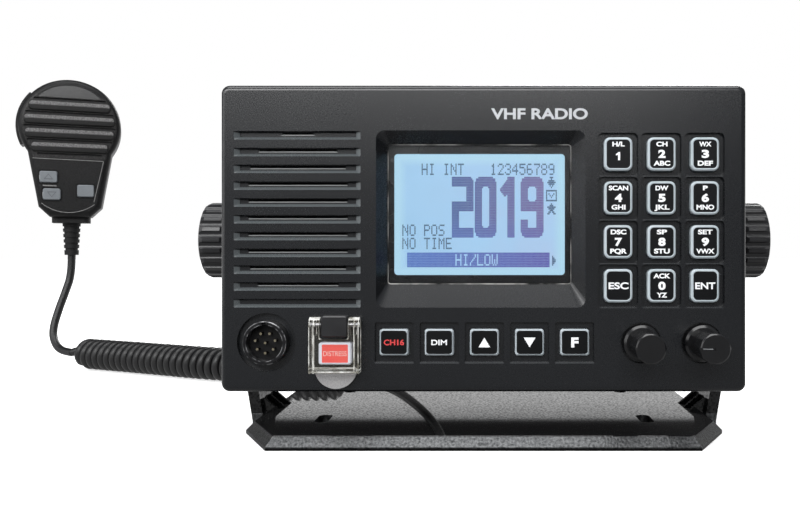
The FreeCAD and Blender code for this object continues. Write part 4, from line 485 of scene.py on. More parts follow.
def dot_quads(column, row):
    """A small square on the plane y = DOT_Y for each dot, as points and faces. Its middle is the
    dot's place from the middle of the grid times the pitch, and its width is DOT_SHARE of the
    pitch."""
    across = SCREEN[0] + (column - (DOTS_ACROSS - 1) / 2) * DOT_PITCH[0]
    up = SCREEN[1] + ((DOTS_DOWN - 1) / 2 - row) * DOT_PITCH[1]
    side = np.array([[-1, -1], [1, -1], [1, 1], [-1, 1]]) * DOT_SHARE / 2 * DOT_PITCH
    points = np.empty((len(column), 4, 3))
    points[:, :, 0] = across[:, None] + side[:, 0]
    points[:, :, 1] = DOT_Y
    points[:, :, 2] = up[:, None] + side[:, 1]
    return points.reshape(-1, 3), np.arange(len(column) * 4).reshape(-1, 4).tolist()


def rounded_outline(middle, size, corner):
    """Points (x, z) round a rectangle with quarter circles of radius `corner` at its corners,
    anticlockwise as seen from the front."""
    turn = np.linspace(0, math.pi / 2, CORNER_STEPS + 1)
    quarter = np.stack([np.cos(turn), np.sin(turn)], axis=1) * corner
    half = np.array(size) / 2 - corner
    parts = []
    for number, sign in enumerate(((1, 1), (-1, 1), (-1, -1), (1, -1))):
        angle = number * math.pi / 2
        spin = np.array([[math.cos(angle), math.sin(angle)], [-math.sin(angle), math.cos(angle)]])
        parts.append(quarter @ spin + half * sign)
    return np.concatenate(parts) + middle


def plate(outline, front, back):
    """A flat plate: the outline at y = front and again at y = back, two lids and a side of
    quads, as points and faces."""
    count = len(outline)
    rings = [np.stack([outline[:, 0], np.full(count, y), outline[:, 1]], axis=1)
             for y in (front, back)]
    here = np.arange(count)
    ahead = np.roll(here, -1)
    sides = np.stack([here + count, ahead + count, ahead, here], axis=1).tolist()
    return (np.concatenate(rings),
            sides + [here.tolist(), (here[::-1] + count).tolist()])


def frame_ring(outer, inner, front, back):
    """A flat ring between two outlines of as many points: four loops of points, outer and inner
    at y = front and y = back, with quads from each loop to the next and from the last to the
    first."""
    count = len(outer)
    loops = [np.stack([line[:, 0], np.full(count, y), line[:, 1]], axis=1)
             for line, y in ((outer, front), (inner, front), (inner, back), (outer, back))]
    here = np.arange(count)
    ahead = np.roll(here, -1)
    faces = [np.stack([here + a * count, ahead + a * count, ahead + b * count, here + b * count],
                      axis=1) for a, b in ((0, 1), (1, 2), (2, 3), (3, 0))]
    return np.concatenate(loops), np.concatenate(faces).tolist()


def facing(node):
    """A node's middle and size (x, z) as seen from the front, and the y of its front and back."""
    low, high = (np.array(corner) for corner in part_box(node))
    return ((low + high) / 2)[[0, 2]], (high - low)[[0, 2]], low[1], high[1]


BACKLIT = {"Roughness": 0.4, "Emission Strength": 1.0}
screen_light, spot, shader = new_finish("screen_light", tone(0, 0, 0), BACKLIT)
across, _, up = spot.axes()
margin = (beyond((across - SCREEN[0]).size(), FIELD_HALF[0], 1.5 * MM)
          .most(beyond((up - SCREEN[1]).size(), FIELD_HALF[1], 1.5 * MM)))
glow = cloud(spot, 16 * MM)
body_light = across.ramp(-33 * MM, 30 * MM).mix(tone(163, 207, 240), tone(180, 207, 241))
screen_field = glow.ramp(0.35, 0.7).mix(body_light, tone(170, 212, 246))
feed(shader, {"Emission Color": margin.mix(screen_field, tone(181, 222, 243))})
joined("screen_light", [plate(rounded_outline(SCREEN, SCREEN_SIZE, 1.2 * MM),
                              LIGHT_Y, LIGHT_Y + 0.05 * MM)],
       screen_light, "radio")

dot_ink, spot, shader = new_finish("dot_ink", tone(0, 0, 0), BACKLIT)
across, _, up = spot.axes()
upper = across.ramp(-10 * MM, 22 * MM).mix(tone(62, 74, 140), tone(112, 88, 148))
lower = across.ramp(-26 * MM, 26 * MM).mix(tone(74, 104, 188), tone(84, 66, 162))
feed(shader, {"Emission Color": up.ramp(70 * MM, 84 * MM).mix(lower, upper)})
word_ink, spot, shader = new_finish("word_ink", tone(0, 0, 0), BACKLIT)
fade = cloud(spot, 12 * MM)
feed(shader, {"Emission Color": fade.mix(tone(46, 76, 112), tone(70, 96, 128))})
for name, shown, ink in (("screen_figures", figures, dot_ink), ("screen_words", words, word_ink)):
    rows, columns = np.nonzero(shown)
    joined(name, [dot_quads(columns, rows)], ink, "radio")

module_skin = mottled("module_glass", (140, 176, 206), (160, 196, 222), 8 * MM, (0.25, 0.35),
                      constants={"Specular IOR Level": 0.4})
dress(module_skin, "lcd_module")

window_middle, window_size, window_front, window_back = facing("display_window")
border_ink = mottled("border_ink", (16, 17, 19), (38, 38, 39), 14 * MM, (0.2, 0.3),
                     constants={"IOR": 1.5})
joined("window_border", [frame_ring(
    rounded_outline(window_middle, window_size - 0.3 * MM, 0.9 * MM),
    rounded_outline(SCREEN, SCREEN_SIZE - 2.0 * MM, 1.3 * MM),
    window_back - 0.07 * MM, window_back - 0.02 * MM)],
    border_ink, "radio")

LENS_OPENING = np.array([66.6, 50.8]) * MM
# A thin ring at the window's front edge with painted glints: patchy bright spots, brighter along
# the foot of the lens opening.
window_glint_skin, spot, shader = new_finish("window_edge_glints", tone(90, 90, 90), {"IOR": 1.5})
patchy_glint = cloud(spot, 9 * MM).ramp(0.4, 0.6)
lens_foot_glint = within(spot.axes()[2], SCREEN[1] - LENS_OPENING[1] / 2 + 0.65 * MM, 0.15 * MM)
feed(shader, {
    "Base Color": (patchy_glint * (0.35 + 0.65 * lens_foot_glint)).mix(tone(34, 34, 34),
                                                           tone(206, 204, 200)),
    "Roughness": 0.15 + 0.15 * patchy_glint})
joined("window_edge_glints", [frame_ring(
    rounded_outline(SCREEN, LENS_OPENING - 0.2 * MM, 1.1 * MM),
    rounded_outline(SCREEN, LENS_OPENING - 0.75 * MM, 0.9 * MM),
    window_front - 0.04 * MM, window_front + 0.02 * MM)],
    window_glint_skin, "radio")

window_skin, spot, shader = new_finish(
    "clear_window", tone(250, 252, 253), {"Transmission Weight": 1.0, "IOR": 1.49})
feed(shader, {"Roughness": 0.01 + 0.03 * cloud(spot, 18 * MM)})
dress(window_skin, "display_window")


# Keypad. Twelve keys of translucent white rubber with a hard black cap pressed into the top,
# which leaves a light rim, stand on one mat. Their legends are printed in white.
def key_rim(spot, first, pitch, size, corner, rim):
    """Distance in metres inside the rim's inner edge of the nearest key of a regular set. The
    place is wrapped to one key's own, and the distance to a rectangle with rounded corners is
    their radius less the length of max(|place| - (half size - radius), 0)."""
    x, _, z = spot.axes()
    away = []
    for along, low, step, width in zip((x, z), first, pitch, size):
        own = wrapped(along, low, step) if step else along - low
        away.append((own.size() - (width / 2 - rim - corner)).most(0.0))
    return corner - away[0].span(away[1])


def capped(name, first, pitch, size, corner, rim, rim_tones, cap_tones):
    """The finish of a set of keys: a pale rim round a dark cap that lies 0.08 mm lower."""
    material, spot, shader = new_finish(
        name, tone(*cap_tones[0]), {"Specular IOR Level": 0.2})
    inside = key_rim(spot, first, pitch, size, corner, rim)
    tint = cloud(spot, 12 * MM)
    rim_tone, cap_tone = (tint.mix(tone(*pair[0]), tone(*pair[1]))
                          for pair in (rim_tones, cap_tones))
    feed(shader, {
        "Base Color": beyond(inside, 0.0, 0.05 * MM).mix(rim_tone, cap_tone),
        "Roughness": 0.34 + 0.16 * tint,
        "Normal": relief(within(inside, 0.0, 0.12 * MM), 0.08 * MM)})
    return material


KEY_CAP = (10.0 * MM, 11.8 * MM)
KEY_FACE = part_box("key_2")[0][1]
DIGIT_HEIGHT = 2.9 * MM
KEY_WORD_HEIGHT = 2.4 * MM
USE_RISE, USE_HEIGHT = 3.5 * MM, 1.7 * MM
ALPHABET_DROP, ALPHABET_HEIGHT = 3.3 * MM, 1.75 * MM
# Each key's use above its digit and the letters below it, and the words' widths in millimetres.
KEY_WORDS = {
    "key_1": ("H/L", "1", ""), "key_2": ("CH", "2", "ABC"), "key_3": ("WX", "3", "DEF"),
    "key_4": ("SCAN", "4", "GHI"), "key_5": ("DW", "5", "JKL"), "key_6": ("P", "6", "MNO"),
    "key_7": ("DSC", "7", "PQR"), "key_8": ("SP", "8", "STU"), "key_9": ("SET", "9", "VWX"),
    "key_escape": ("", "ESC", ""), "key_0": ("ACK", "0", "YZ"), "key_enter": ("", "ENT", ""),
}
WORD_WIDTHS = {
    "H/L": 4.4, "CH": 4.0, "WX": 4.4, "SCAN": 6.9, "DW": 4.6, "P": 1.7, "DSC": 5.6, "SP": 3.6,
    "SET": 5.2, "ACK": 6.0, "ABC": 5.9, "DEF": 5.4, "GHI": 5.0, "JKL": 5.4, "MNO": 6.3,
    "PQR": 5.9, "STU": 5.6, "VWX": 6.5, "YZ": 3.7, "ESC": 7.1, "ENT": 7.2,
}
DIGIT_WIDTH = 2.6 * MM
# The digit one has no foot, so it is a plate with this outline and not the font's.
ONE = np.array([[0.2, -0.5], [0.2, 0.5], [0.0, 0.5], [-0.32, 0.27], [-0.32, 0.07], [-0.06, 0.17],
                [-0.06, -0.5]])
key_skin = capped("key_moulding", (KEY_COLUMNS[0], KEY_ROWS[3]), KEY_PITCH, KEY_CAP,
                  corner=1.5 * MM, rim=0.82 * MM, rim_tones=((158, 172, 177), (198, 205, 211)),
                  cap_tones=((4, 5, 7), (9, 10, 13)))
for number, (name, (use, digit, alphabet)) in enumerate(KEY_WORDS.items()):
    dress(key_skin, name)
    x = KEY_COLUMNS[number % 3]
    z = KEY_ROWS[number // 3]
    digit_z = z - 0.8 * MM if name == "key_1" else z
    if digit == "1":
        legend = [plate(ONE * DIGIT_HEIGHT + (x, digit_z), KEY_FACE - INK, KEY_FACE + INK)]
    elif len(digit) > 1:
        legend = [letters(digit, (x, digit_z), KEY_FACE, KEY_WORD_HEIGHT,
                          WORD_WIDTHS[digit] * MM)]
    else:
        legend = [letters(digit, (x, digit_z), KEY_FACE, DIGIT_HEIGHT, DIGIT_WIDTH,
                          weight=0.05)]
    if use:
        legend.append(letters(use, (x, z + USE_RISE), KEY_FACE, USE_HEIGHT,
                              WORD_WIDTHS[use] * MM, weight=0.04))
    if alphabet:
        legend.append(letters(alphabet, (x, z - ALPHABET_DROP), KEY_FACE, ALPHABET_HEIGHT,
                              WORD_WIDTHS[alphabet] * MM, weight=0.04))
    joined(name + "_print", legend, white_ink, name)


# Row keys. Five keys of the same make in a row below the display, with a thinner rim and one
# legend each. The calling channel's is red.
ROW_CAP = (10.2 * MM, 9.3 * MM)
ROW_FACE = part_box("row_key_1")[0][1]
ARROW_SIZE = (4.2 * MM, 3.5 * MM)
row_skin = capped("row_key_moulding", (ROW_PLACES[0], ROW_Z), (ROW_PITCH, 0.0), ROW_CAP,
                  corner=1.2 * MM, rim=0.5 * MM, rim_tones=((150, 162, 166), (186, 192, 198)),
                  cap_tones=((4, 5, 6), (9, 10, 12)))
red_ink = mottled("red_ink", (206, 54, 56), (226, 72, 72), 0.8 * MM, (0.4, 0.6), detail=4.0)


def arrow(middle, sign):
    """A solid triangle that points up or, with a sign of -1, down: a plate through its three
    corners."""
    corners = np.array([[-0.5, -0.5], [0.5, -0.5], [0.0, 0.5]]) * ARROW_SIZE
    return plate(sign * corners + middle, ROW_FACE - INK, ROW_FACE + INK)


row_middles = [(place, ROW_Z) for place in ROW_PLACES]
row_legends = (
    (letters("CH16", row_middles[0], ROW_FACE, 2.0 * MM, 7.2 * MM), red_ink),
    (letters("DIM", row_middles[1], ROW_FACE, 1.9 * MM, 5.6 * MM, weight=0.025), white_ink),
    (arrow(row_middles[2], 1), white_ink),
    (arrow(row_middles[3], -1), white_ink),
    (letters("F", row_middles[4], ROW_FACE, 3.6 * MM, 2.6 * MM, weight=0.05), white_ink))
for number, (legend, ink) in enumerate(row_legends, 1):
    name = "row_key_%d" % number
    dress(row_skin, name)
    joined(name + "_print", [legend], ink, name)


# Rotary knobs. Two glossy black knobs with ten flats press on the shafts of the volume and
# channel controls. The volume knob has a thin pointer line filled with grey paint.
POINTER_OFFSET = 2.6 * MM
POINTER_SIZE = (3.4 * MM, 0.35 * MM)
rotary_skin = mottled("rotary_moulding", (6, 6, 8), (13, 13, 15), 6 * MM, (0.2, 0.28),
                      constants={"Specular IOR Level": 0.6})
dress(rotary_skin, "volume_knob", "channel_knob")
pointer_paint = mottled("pointer_paint", (92, 94, 96), (132, 134, 136), 1.5 * MM, (0.4, 0.5))
volume_middle, _, volume_front, _ = facing("volume_knob")
joined("volume_pointer", [plate(
    rounded_outline(volume_middle - [POINTER_OFFSET, 0.0], POINTER_SIZE, 0.16 * MM),
    volume_front - INK, volume_front + 0.5 * MM)],
    pointer_paint, "volume_knob")


# Distress key. A white key with a red face stands in a well, behind a clear moulded cover that
# swings up on a steel pin in a black block. The cover's lip is frosted for the finger, and its
# edges carry painted highlights and glints.
RED_FACE = (9.2 * MM, 6.4 * MM)
COVER_EDGE, COVER_INNER_EDGE = 8.6 * MM, 7.1 * MM
NOTCH_HALF, NOTCH_FOOT = 5.0 * MM, 40.1 * MM
COVER_FOOT, COVER_INNER_FOOT = 28.5 * MM, 29.85 * MM
COVER_EARS = 47.0 * MM
TAB_TOP = 27.7 * MM
button_middle, _, button_front, _ = facing("distress_button")
button_skin, spot, shader = new_finish("button_moulding", tone(228, 232, 240), {})
inside = key_rim(spot, button_middle, (0.0, 0.0), RED_FACE, 0.4 * MM, 0.0)
tint = cloud(spot, 5 * MM)
red = tint.mix(tone(252, 84, 78), tone(255, 104, 96))
white = tint.mix(tone(232, 236, 250), tone(246, 248, 255))
feed(shader, {
    "Base Color": beyond(inside, 0.0, 0.05 * MM).mix(white, red),
    "Roughness": 0.28 + 0.12 * tint})
dress(button_skin, "distress_button")
pale_ink = mottled("pale_ink", (252, 200, 192), (255, 228, 222), 0.6 * MM, (0.4, 0.6),
                   detail=4.0)
joined("distress_print",
       [letters("DISTRESS", button_middle, button_front, 1.7 * MM, 8.2 * MM, weight=0.0)],
       pale_ink, "distress_button")
dress(knob_skin, "distress_hinge_block")

cover_skin, spot, shader = new_finish("cover_moulding", tone(190, 190, 184), {"IOR": 1.5})
x, _, z = spot.axes()
off = (x - facing("distress_cover")[0][0]).size()
# Painted highlights: bright lines along the cover's edges, the sides and foot of its notch, its
# foot and its ears, with patchy glints, nearly opaque.
edges = stripe(off, COVER_EDGE, 0.16 * MM).most(stripe(off, COVER_INNER_EDGE, 0.16 * MM))
notch_side = (0.6 * stripe(off, NOTCH_HALF, 0.2 * MM)
              * z.ramp(NOTCH_FOOT - 0.2 * MM, NOTCH_FOOT))
notch_foot = (stripe(z, NOTCH_FOOT, 0.22 * MM)
              * off.ramp(NOTCH_HALF + 0.2 * MM, NOTCH_HALF))
foot = (0.7 * stripe(z, COVER_INNER_FOOT, 0.2 * MM)).most(stripe(z, COVER_FOOT, 0.28 * MM))
ears = stripe(z, COVER_EARS, 0.5 * MM) * beyond(off, NOTCH_HALF, 0.1 * MM)
highlight_lines = edges.most(notch_side).most(notch_foot).most(foot).most(ears)
tab = within(z, TAB_TOP, 0.1 * MM)
frost = cloud(spot, 0.45 * MM, 3.0)
glint = cloud(spot, 3.0 * MM, 3.0)
glint_tone = glint.ramp(0.35, 0.65).mix(tone(120, 118, 108), tone(246, 246, 242))
plain = highlight_lines.mix(tone(150, 144, 132), glint_tone)
frosted = frost.ramp(0.3, 0.7).mix(tone(138, 137, 137), tone(170, 168, 168))
fresnel = spot.node("Fresnel", None, {"IOR": 1.5})
feed(shader, {
    "Base Color": tab.mix(plain, frosted),
    "Roughness": (0.06 + 0.04 * glint).most(0.6 * tab),
    "Alpha": (0.03 + 0.35 * fresnel).most(0.9 * highlight_lines).most(0.97 * tab),
    "Normal": relief(frost * tab, 0.03 * MM)})
dress(cover_skin, "distress_cover")


# Front socket. A black anodised shell with a bayonet ring is screwed to the panel. A black
# insert in it carries eight plated pins.
SOCKET = np.array([-77.3, 38.2]) * MM
RING_EDGE, RING_STEP = 7.6 * MM, 6.5 * MM
PIN_TIP = -57.79 * MM
anodised, spot, shader = new_finish(
    "black_anodising", tone(34, 34, 36), {"Metallic": 0.5, "IOR": 1.5})
x, _, z = spot.axes()
around = (x - SOCKET[0]).span(z - SOCKET[1])
rub = cloud(spot, 2.2 * MM, 4.0)
# Painted glints and wear: light rings at the bayonet ring's outer edge and at its step, in rubbed
# patches.
wear_and_highlight = (stripe(around, RING_EDGE, 0.12 * MM).most(stripe(around, RING_STEP, 0.1 * MM))
        * rub.ramp(0.45, 0.6))
feed(shader, {
    "Base Color": wear_and_highlight.mix(rub.mix(tone(16, 16, 18), tone(38, 38, 40)), tone(150, 150, 152)),
    "Roughness": 0.2 + 0.25 * rub})
dress(anodised, "socket_shell")
insert_skin = mottled("socket_insert", (10, 10, 11), (17, 17, 18), 1.5 * MM, (0.45, 0.65),
                      detail=3.0, constants={"Specular IOR Level": 0.2})
dress(insert_skin, "socket_insert")
contact, spot, shader = new_finish("contact_plate", tone(216, 198, 150), {"Metallic": 1.0})
tarnish = cloud(spot, 0.6 * MM, 3.0)
# Painted shade: the pins' sides are dark, and only their tips show the plating.
tip = within(spot.axes()[1], PIN_TIP, 0.04 * MM)
plated = tarnish.mix(tone(206, 190, 150), tone(236, 230, 210))
feed(shader, {
    "Base Color": tip.mix(tone(52, 47, 36), plated),
    "Roughness": 0.18 + 0.14 * tarnish})
dress(contact, "socket_pins")


# Rear fittings. A nickel-plated coaxial socket for the antenna and a plated threaded inlet for
# power stand on the chassis beside the cord's rubber gland.
nickel = mottled("nickel_plate", (186, 184, 178), (206, 204, 199), 2 * MM, (0.16, 0.3),
                 detail=3.0, constants={"Metallic": 1.0})
dress(nickel, "antenna_socket", "power_inlet")


# Fist microphone. Two black shells with a spark grain close round the capsule, the front one
# with four raised slats over its slots, whose upper parts have a painted highlight and whose feet
# painted shade. A steel button on the back hangs it up.
MIC_MIDDLE = np.array([-260.8, 174.0, 147.5]) * MM
MIC_TURN = math.radians(23.0)
MIC_FACE = -14.0 * MM
MIC_KEY_FACE = -15.2 * MM
SLAT_MIDDLES = [place * MM for place in (11.55, 3.15, -5.25, -13.65)]
SLAT_CREST, SLAT_GAP = 1.45 * MM, -2.6 * MM
FIELD_MIDDLE = -1.05 * MM
mic_skin, spot, shader = new_finish(
    "mic_moulding", tone(28, 28, 29), {"Specular IOR Level": 0.22})
spark = cloud(spot, 0.55 * MM, 3.0)
grit = spark.ramp(0.35, 0.7)
hue = cloud(spot, 18 * MM)
local = spot.node("Mapping", {"vector_type": "TEXTURE"}, {
    "Vector": spot, "Location": tuple(MIC_MIDDLE), "Rotation": (0.0, 0.0, MIC_TURN)})
_, deep, height = local.axes()
# Painted highlight: the upper part of each slat's face is lighter. Painted shade: a dark band at
# each slat's foot.
slat_highlight = gap_shade = deep * 0.0
for middle in SLAT_MIDDLES:
    slat_highlight = slat_highlight.most((height - (middle + SLAT_CREST)).size().ramp(1.45 * MM, 0.8 * MM))
    gap_shade = gap_shade.most((height - (middle + SLAT_GAP)).size().ramp(1.5 * MM, 1.1 * MM))
slat_highlight = slat_highlight * within(deep, MIC_FACE - 0.8 * MM, 0.1 * MM)
gap_shade = gap_shade * within(deep, MIC_FACE - 0.25 * MM, 0.05 * MM)
field = ((height - FIELD_MIDDLE).size().ramp(19.6 * MM, 18.8 * MM)
         * within(deep, MIC_FACE + 0.2 * MM, 0.1 * MM)
         * beyond(deep, MIC_FACE - 0.25 * MM, 0.05 * MM))
plain = (0.3 * hue + 0.7 * grit).mix(tone(0, 0, 0), tone(30, 30, 31))
plain = field.mix(plain, grit.mix(tone(6, 6, 6), tone(56, 55, 55)))
wear_and_highlight = spark.ramp(0.3, 0.7).mix(tone(50, 49, 49), tone(138, 137, 137))
feed(shader, {
    "Base Color": gap_shade.mix(slat_highlight.mix(plain, wear_and_highlight), tone(10, 10, 10)),
    "Roughness": 0.34 + 0.16 * spark,
    "Normal": relief(spark, 0.07 * MM)})
dress(mic_skin, "mic_front_shell", "mic_rear_shell", "mic_ptt")
dress(nickel, "mic_hang_button")
dress(insert_skin, "mic_capsule")


ARC_STEPS = 24


def on_mic(part):
    """Points turned by the microphone's angle about the upright and moved to its middle."""
    points, faces = part
    turn = np.array([[math.cos(MIC_TURN), math.sin(MIC_TURN), 0],
                     [-math.sin(MIC_TURN), math.cos(MIC_TURN), 0], [0, 0, 1]])
    return points @ turn + MIC_MIDDLE, faces


def bead(line, width, height):
    """A raised bead on the microphone's face along an open line (x, z) in millimetres. The line
    moved half the width to either side, along its normal, makes the outline of a plate."""
    line = np.array(line) * MM
    slope = np.gradient(line, axis=0)
    slope /= np.linalg.norm(slope, axis=1)[:, None]
    aside = np.stack([slope[:, 1], -slope[:, 0]], axis=1) * width / 2
    outline = np.concatenate([line + aside, (line - aside)[::-1]])
    return on_mic(plate(outline, MIC_FACE - height, MIC_FACE + 0.1 * MM))


def arc(radius, start, end, middle=(0.0, 0.0)):
    """Points (x, z) in millimetres on a circle from one angle in degrees to another."""
    turn = np.radians(np.linspace(start, end, ARC_STEPS + 1))
    return np.stack([middle[0] + radius * np.cos(turn), middle[1] + radius * np.sin(turn)], 1)


gloss = mottled("mic_gloss_inlay", (30, 30, 31), (48, 48, 48), 4 * MM, (0.12, 0.32),
                detail=3.0, constants={"IOR": 1.5})
joined("mic_crescent", [on_mic(plate(arc(24.3, 44.0, 136.0) * MM, MIC_FACE - 0.15 * MM,
                                     MIC_FACE + 0.2 * MM))],
       gloss, "microphone")
# Pale raised beads along edges of the microphone's face: painted edge highlights.
edge_highlight_skin = mottled("mic_edge_highlight", (84, 84, 84), (146, 145, 144), 2 * MM, (0.3, 0.5),
                    detail=3.0)
side_line = np.stack([np.linspace(18.6, 13.2, 9), np.linspace(-21.4, -46.8, 9)], 1)
joined("mic_beads", [
    bead([(-20.4, -20.7), (-8.0, -20.9), (6.0, -21.1), (18.3, -21.3)], 0.35 * MM, 0.2 * MM),
    bead(side_line, 0.35 * MM, 0.2 * MM),
    bead(arc(22.4, -131.0, -50.0, (-0.9, -31.0)), 0.4 * MM, 0.2 * MM),
    bead([(-14.9, -37.15), (-11.0, -37.2), (-7.4, -37.25)], 0.8 * MM, 0.25 * MM)],
       edge_highlight_skin, "microphone")

# The middle (x, z) and the size of each small key in millimetres.
MIC_KEYS = {"mic_key_up": (-11.8, -31.9, 9.7, 6.9), "mic_key_down": (-10.0, -42.4, 9.7, 6.9),
            "mic_key_side": (8.6, -40.0, 9.4, 7.4)}
# Dark rings round the small keys: painted shade of the wells they sit in.
well_shades = []
for x, z, width, height in MIC_KEYS.values():
    key_middle = np.array([x, z]) * MM
    key_size = np.array([width, height]) * MM
    well_shades.append(on_mic(frame_ring(rounded_outline(key_middle, key_size + 2.2 * MM, 1.9 * MM),
                                   rounded_outline(key_middle, key_size + 0.7 * MM, 1.5 * MM),
                                   MIC_FACE - 0.06 * MM, MIC_FACE + 0.1 * MM)))
joined("mic_key_well_shade", well_shades, insert_skin, "microphone")

mic_key_skin, spot, shader = new_finish("mic_key_moulding", tone(118, 124, 130), {})
dust = cloud(spot, 0.5 * MM, 4.0)
shade = cloud(spot, 6 * MM)
feed(shader, {
    "Base Color": (0.6 * shade + 0.4 * dust).mix(tone(96, 101, 106), tone(124, 129, 133)),
    "Roughness": 0.4 + 0.15 * dust,
    "Normal": relief(dust, 0.01 * MM)})
dress(mic_key_skin, *MIC_KEYS)
mark_ink = mottled("mic_key_mark", (70, 74, 78), (92, 96, 100), 0.5 * MM, (0.5, 0.6))
corners = np.array([[-2.6, -1.5], [2.6, -1.5], [0.0, 1.9]])
for name, sign in (("mic_key_up", 1), ("mic_key_down", -1)):
    middle = np.array(MIC_KEYS[name][:2])
    joined(name + "_mark", [on_mic(frame_ring(
        (middle + sign * corners) * MM, (middle + sign * (corners * 0.7)) * MM,
        MIC_KEY_FACE - INK, MIC_KEY_FACE + INK))],
        mark_ink, name)


# Curly cord. A black cord is wound and set into a tight coil that lies on the surface. Its
# straight ends rise to the microphone's boot and to the gland on the radio's back.
CORD = 4.6 * MM
COIL_RADIUS = 6.85 * MM
COIL_PITCH = 4.85 * MM
COIL_STEPS = 14
COIL_END_TURNS = 1.0
COIL_END_STRETCH = 4.0
COIL_ROUTE = [(-0.250, 0.1532, 0.0092), (-0.200, 0.1295, 0.0092), (-0.143, 0.0995, 0.0092),
              (-0.100, 0.089, 0.0092), (-0.066, 0.090, 0.0092)]
MIC_TAIL_ROUTE = [(-0.2608, 0.174, 0.068), (-0.2608, 0.174, 0.056), (-0.2631, 0.1709, 0.045),
                  (-0.2659, 0.1683, 0.0345), (-0.2681, 0.1648, 0.0217),
                  (-0.2649, 0.1612, 0.0138), (-0.2582, 0.1571, 0.0092), COIL_ROUTE[0]]
RADIO_TAIL_ROUTE = [COIL_ROUTE[-1], (-0.056, 0.0903, 0.0092), (-0.0446, 0.0953, 0.0152),
                    (-0.0305, 0.101, 0.0284), (-0.0232, 0.0947, 0.0381),
                    (-0.0215, 0.0838, 0.0428), (-0.025, 0.073, 0.042), (-0.025, 0.064, 0.042)]


def cord_curve(name, points, thickness=0.0, steps=12):
    """A NURBS curve of order 3 with these points as its control points, as thick as told."""
    curve = bpy.data.curves.new(name, "CURVE")
    curve.dimensions = "3D"
    line = curve.splines.new("NURBS")
    line.points.add(len(points) - 1)
    line.points.foreach_set("co", np.c_[points, np.ones(len(points))].ravel())
    line.order_u = 3
    line.use_endpoint_u = True
    line.use_smooth = True
    curve.resolution_u = steps
    curve.bevel_depth = thickness / 2
    curve.bevel_resolution = 4
    curve.use_fill_caps = True
    piece = bpy.data.objects.new(name, curve)
    bpy.context.scene.collection.objects.link(piece)
    return piece


def line_of(points):
    """The points that the cord's own spline runs through, read from a curve with no bevel."""
    draft = cord_curve("draft", points)
    mesh = bpy.data.meshes.new_from_object(draft)
    line = np.empty(len(mesh.vertices) * 3)
    mesh.vertices.foreach_get("co", line)
    bpy.data.objects.remove(draft)
    bpy.data.meshes.remove(mesh)
    return line.reshape(-1, 3)


def wound(line, radius, pitch, steps, end_turns, stretch):
    """A helix round a level line, at 2 pi per turn. Over the end turns its distance from the line
    grows from 0 to `radius` as the sine of a quarter turn, and its advance falls smoothly from
    1 + `stretch` pitches a turn to one. Across and up are the level normal and the vertical."""
    run = np.r_[0, np.cumsum(np.linalg.norm(np.diff(line, axis=0), axis=1))]
    turns = run[-1] / pitch - stretch * end_turns
    turn = np.linspace(0, turns, int(turns * steps) + 1)
    near = np.clip(np.minimum(turn, turns - turn) / end_turns, 0, 1)
    advance = 1 + stretch * (1 - near ** 3 * (10 - 15 * near + 6 * near ** 2))
    along = np.r_[0, np.cumsum(advance[1:] + advance[:-1])]
    along *= run[-1] / along[-1]
    middle = np.stack([np.interp(along, run, line[:, axis]) for axis in range(3)], axis=1)
    slope = np.gradient(middle, axis=0)
    slope /= np.linalg.norm(slope, axis=1)[:, None]
    level = np.stack([-slope[:, 1], slope[:, 0], np.zeros(len(slope))], axis=1)
    reach = radius * np.sin(near * math.pi / 2)
    angle = 2 * math.pi * turn
    away = np.cos(angle)[:, None] * np.array([0, 0, 1.0]) + np.sin(angle)[:, None] * level
    return middle + reach[:, None] * away


jacket = mottled("cord_jacket", (4, 4, 5), (14, 14, 15), 5 * MM, (0.36, 0.5), detail=4.0,
                 grain=(0.6 * MM, 3.0, 0.012 * MM))

coil = cord_curve("curly_cord", wound(line_of(COIL_ROUTE), COIL_RADIUS, COIL_PITCH, COIL_STEPS,
                                      COIL_END_TURNS, COIL_END_STRETCH), CORD, 3)
coil.data.materials.append(jacket)
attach(coil, "bracket")
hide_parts("cord_curly")


def tail(name, points, node):
    """A straight end of the cord: the spline's own tube as a mesh, in place of the CAD node."""
    draft = cord_curve(name + "_draft", points, CORD)
    mesh = bpy.data.meshes.new_from_object(draft)
    mesh.name = name
    bpy.data.objects.remove(draft)
    piece = bpy.data.objects.new(name, mesh)
    bpy.context.scene.collection.objects.link(piece)
    mesh.materials.clear()
    mesh.materials.append(jacket)
    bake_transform(piece)
    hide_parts(node)
    line_of(points)


tail("mic_tail", MIC_TAIL_ROUTE,
     "cord_mic_tail")
tail("radio_tail", RADIO_TAIL_ROUTE,
     "cord_radio_tail")


# Studio. A pale paper floor under four plain softboxes, in front, above, behind and at the left,
# and a dim room round them that looks white behind the object.
FLOOR_Z = -0.02 * MM
WALL_SLOPE = 0.2005


def rays(wire):
    """1 for rays from the camera, and 1 for rays by way of gloss or clear plastic."""
    path = wire.node("LightPath")
    return (path.beside("Is Camera Ray"),
            path.beside("Is Glossy Ray").most(path.beside("Is Transmission Ray")))


floor_mesh = bpy.data.meshes.new("floor")
floor_mesh.from_pydata([(x, y, FLOOR_Z) for x, y in ((-4, -4), (4, -4), (4, 6), (-4, 6))], [],
                       [(0, 1, 2, 3)])
floor = bpy.data.objects.new("floor", floor_mesh)
bpy.context.scene.collection.objects.link(floor)
paper_white, spot, shader = new_finish(
    "floor_paper", tone(235, 235, 235),
    {"Roughness": 0.9, "Specular IOR Level": 0.0, "Emission Strength": 1.0})
seen, mirrored = rays(spot)
mirrored = mirrored * spot.axes()[1].ramp(-0.12, 0.1)
far = spot.node("VectorMath", {"operation": "LENGTH"}, {0: spot}, "Value").ramp(0.4, 1.1)
paper_light = far.mix(tone(190, 190, 190), tone(255, 255, 255))
feed(shader, {
    "Base Color": seen.mix(tone(118, 118, 118), tone(235, 235, 235)),
    "Emission Color": seen.most(mirrored).mix(tone(0, 0, 0), paper_light)})
floor_mesh.materials.append(paper_white)

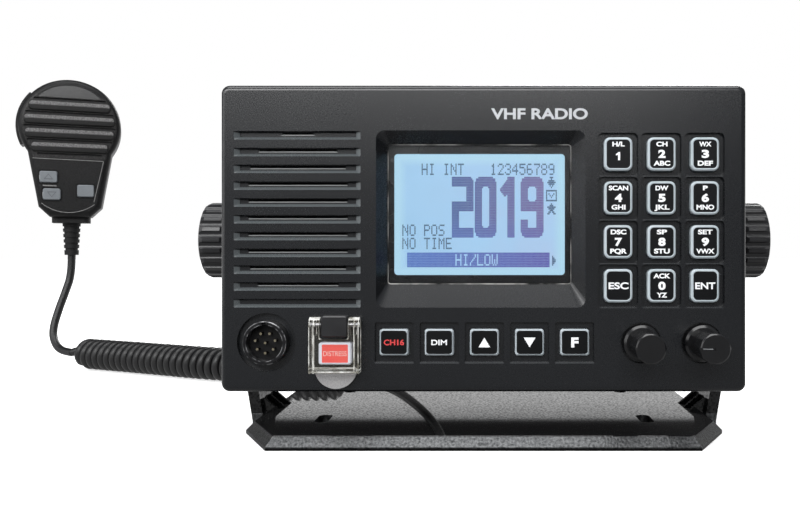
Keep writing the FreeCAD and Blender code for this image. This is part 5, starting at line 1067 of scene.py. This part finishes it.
# Behind the object, gloss mirrors a white wall up to a line that rises by WALL_SLOPE for each
# metre back, and a dark room above it. The camera sees white, and all other light is dim grey.
world = bpy.data.worlds.new("studio")
bpy.context.scene.world = world
world.use_nodes = True
way = Wire(world.node_tree).node("TexCoord", output="Generated")
_, back, up = way.axes()
seen, mirrored = rays(way)
above = up - WALL_SLOPE * back
wall = above.ramp(0.002, -0.002) * (0.6 + 0.4 * above.ramp(0.0, -0.02))
white = seen.most(mirrored * wall * back.ramp(0.0, 0.35))
dim = up.ramp(-0.2, 0.35).mix(tone(36, 36, 36), tone(166, 168, 171))
dark = mirrored * back.ramp(0.0, 0.35) * above.ramp(-0.002, 0.002)
light = white.mix(dark.mix(dim, tone(16, 16, 16)), tone(255, 255, 255))
feed(world.node_tree.nodes["Background"], {"Color": light})

for name, place, aim, size, power in (
        ("front_box", (-0.3, -1.0, 0.62), (0.0, -0.05, 0.075), (1.4, 0.4), 14.0),
        ("top_box", (-0.05, -0.2, 1.15), (-0.05, 0.0, 0.02), (1.1, 0.6), 9.0),
        ("rear_box", (0.35, 1.3, 0.8), (0.0, 0.05, 0.07), (0.9, 0.5), 15.0),
        ("side_box", (-1.2, -0.5, 0.42), (-0.1, 0.0, 0.07), (0.9, 0.8), 4.0)):
    lamp = bpy.data.lights.new(name, "AREA")
    lamp.shape = "RECTANGLE"
    lamp.size, lamp.size_y = size
    lamp.energy = power
    holder = bpy.data.objects.new(name, lamp)
    bpy.context.scene.collection.objects.link(holder)
    holder.location = place
    sight = np.array(aim) - place
    holder.rotation_euler = (math.atan2(math.hypot(sight[0], sight[1]), -sight[2]), 0,
                             math.atan2(-sight[0], sight[1]))

camera_data = bpy.data.cameras.new("camera")
camera_data.lens = 37.92
camera_data.sensor_width = 36.0
camera_data.shift_x = -0.1125
camera_data.shift_y = -0.02
camera_data.clip_start = 0.01
camera = bpy.data.objects.new("camera", camera_data)
bpy.context.scene.collection.objects.link(camera)
camera.location = (0.0023, -0.356, 0.0711)
camera.rotation_euler = (math.pi / 2, 0, 0)
bpy.context.scene.camera = camera
bpy.context.scene.view_settings.view_transform = "Standard"
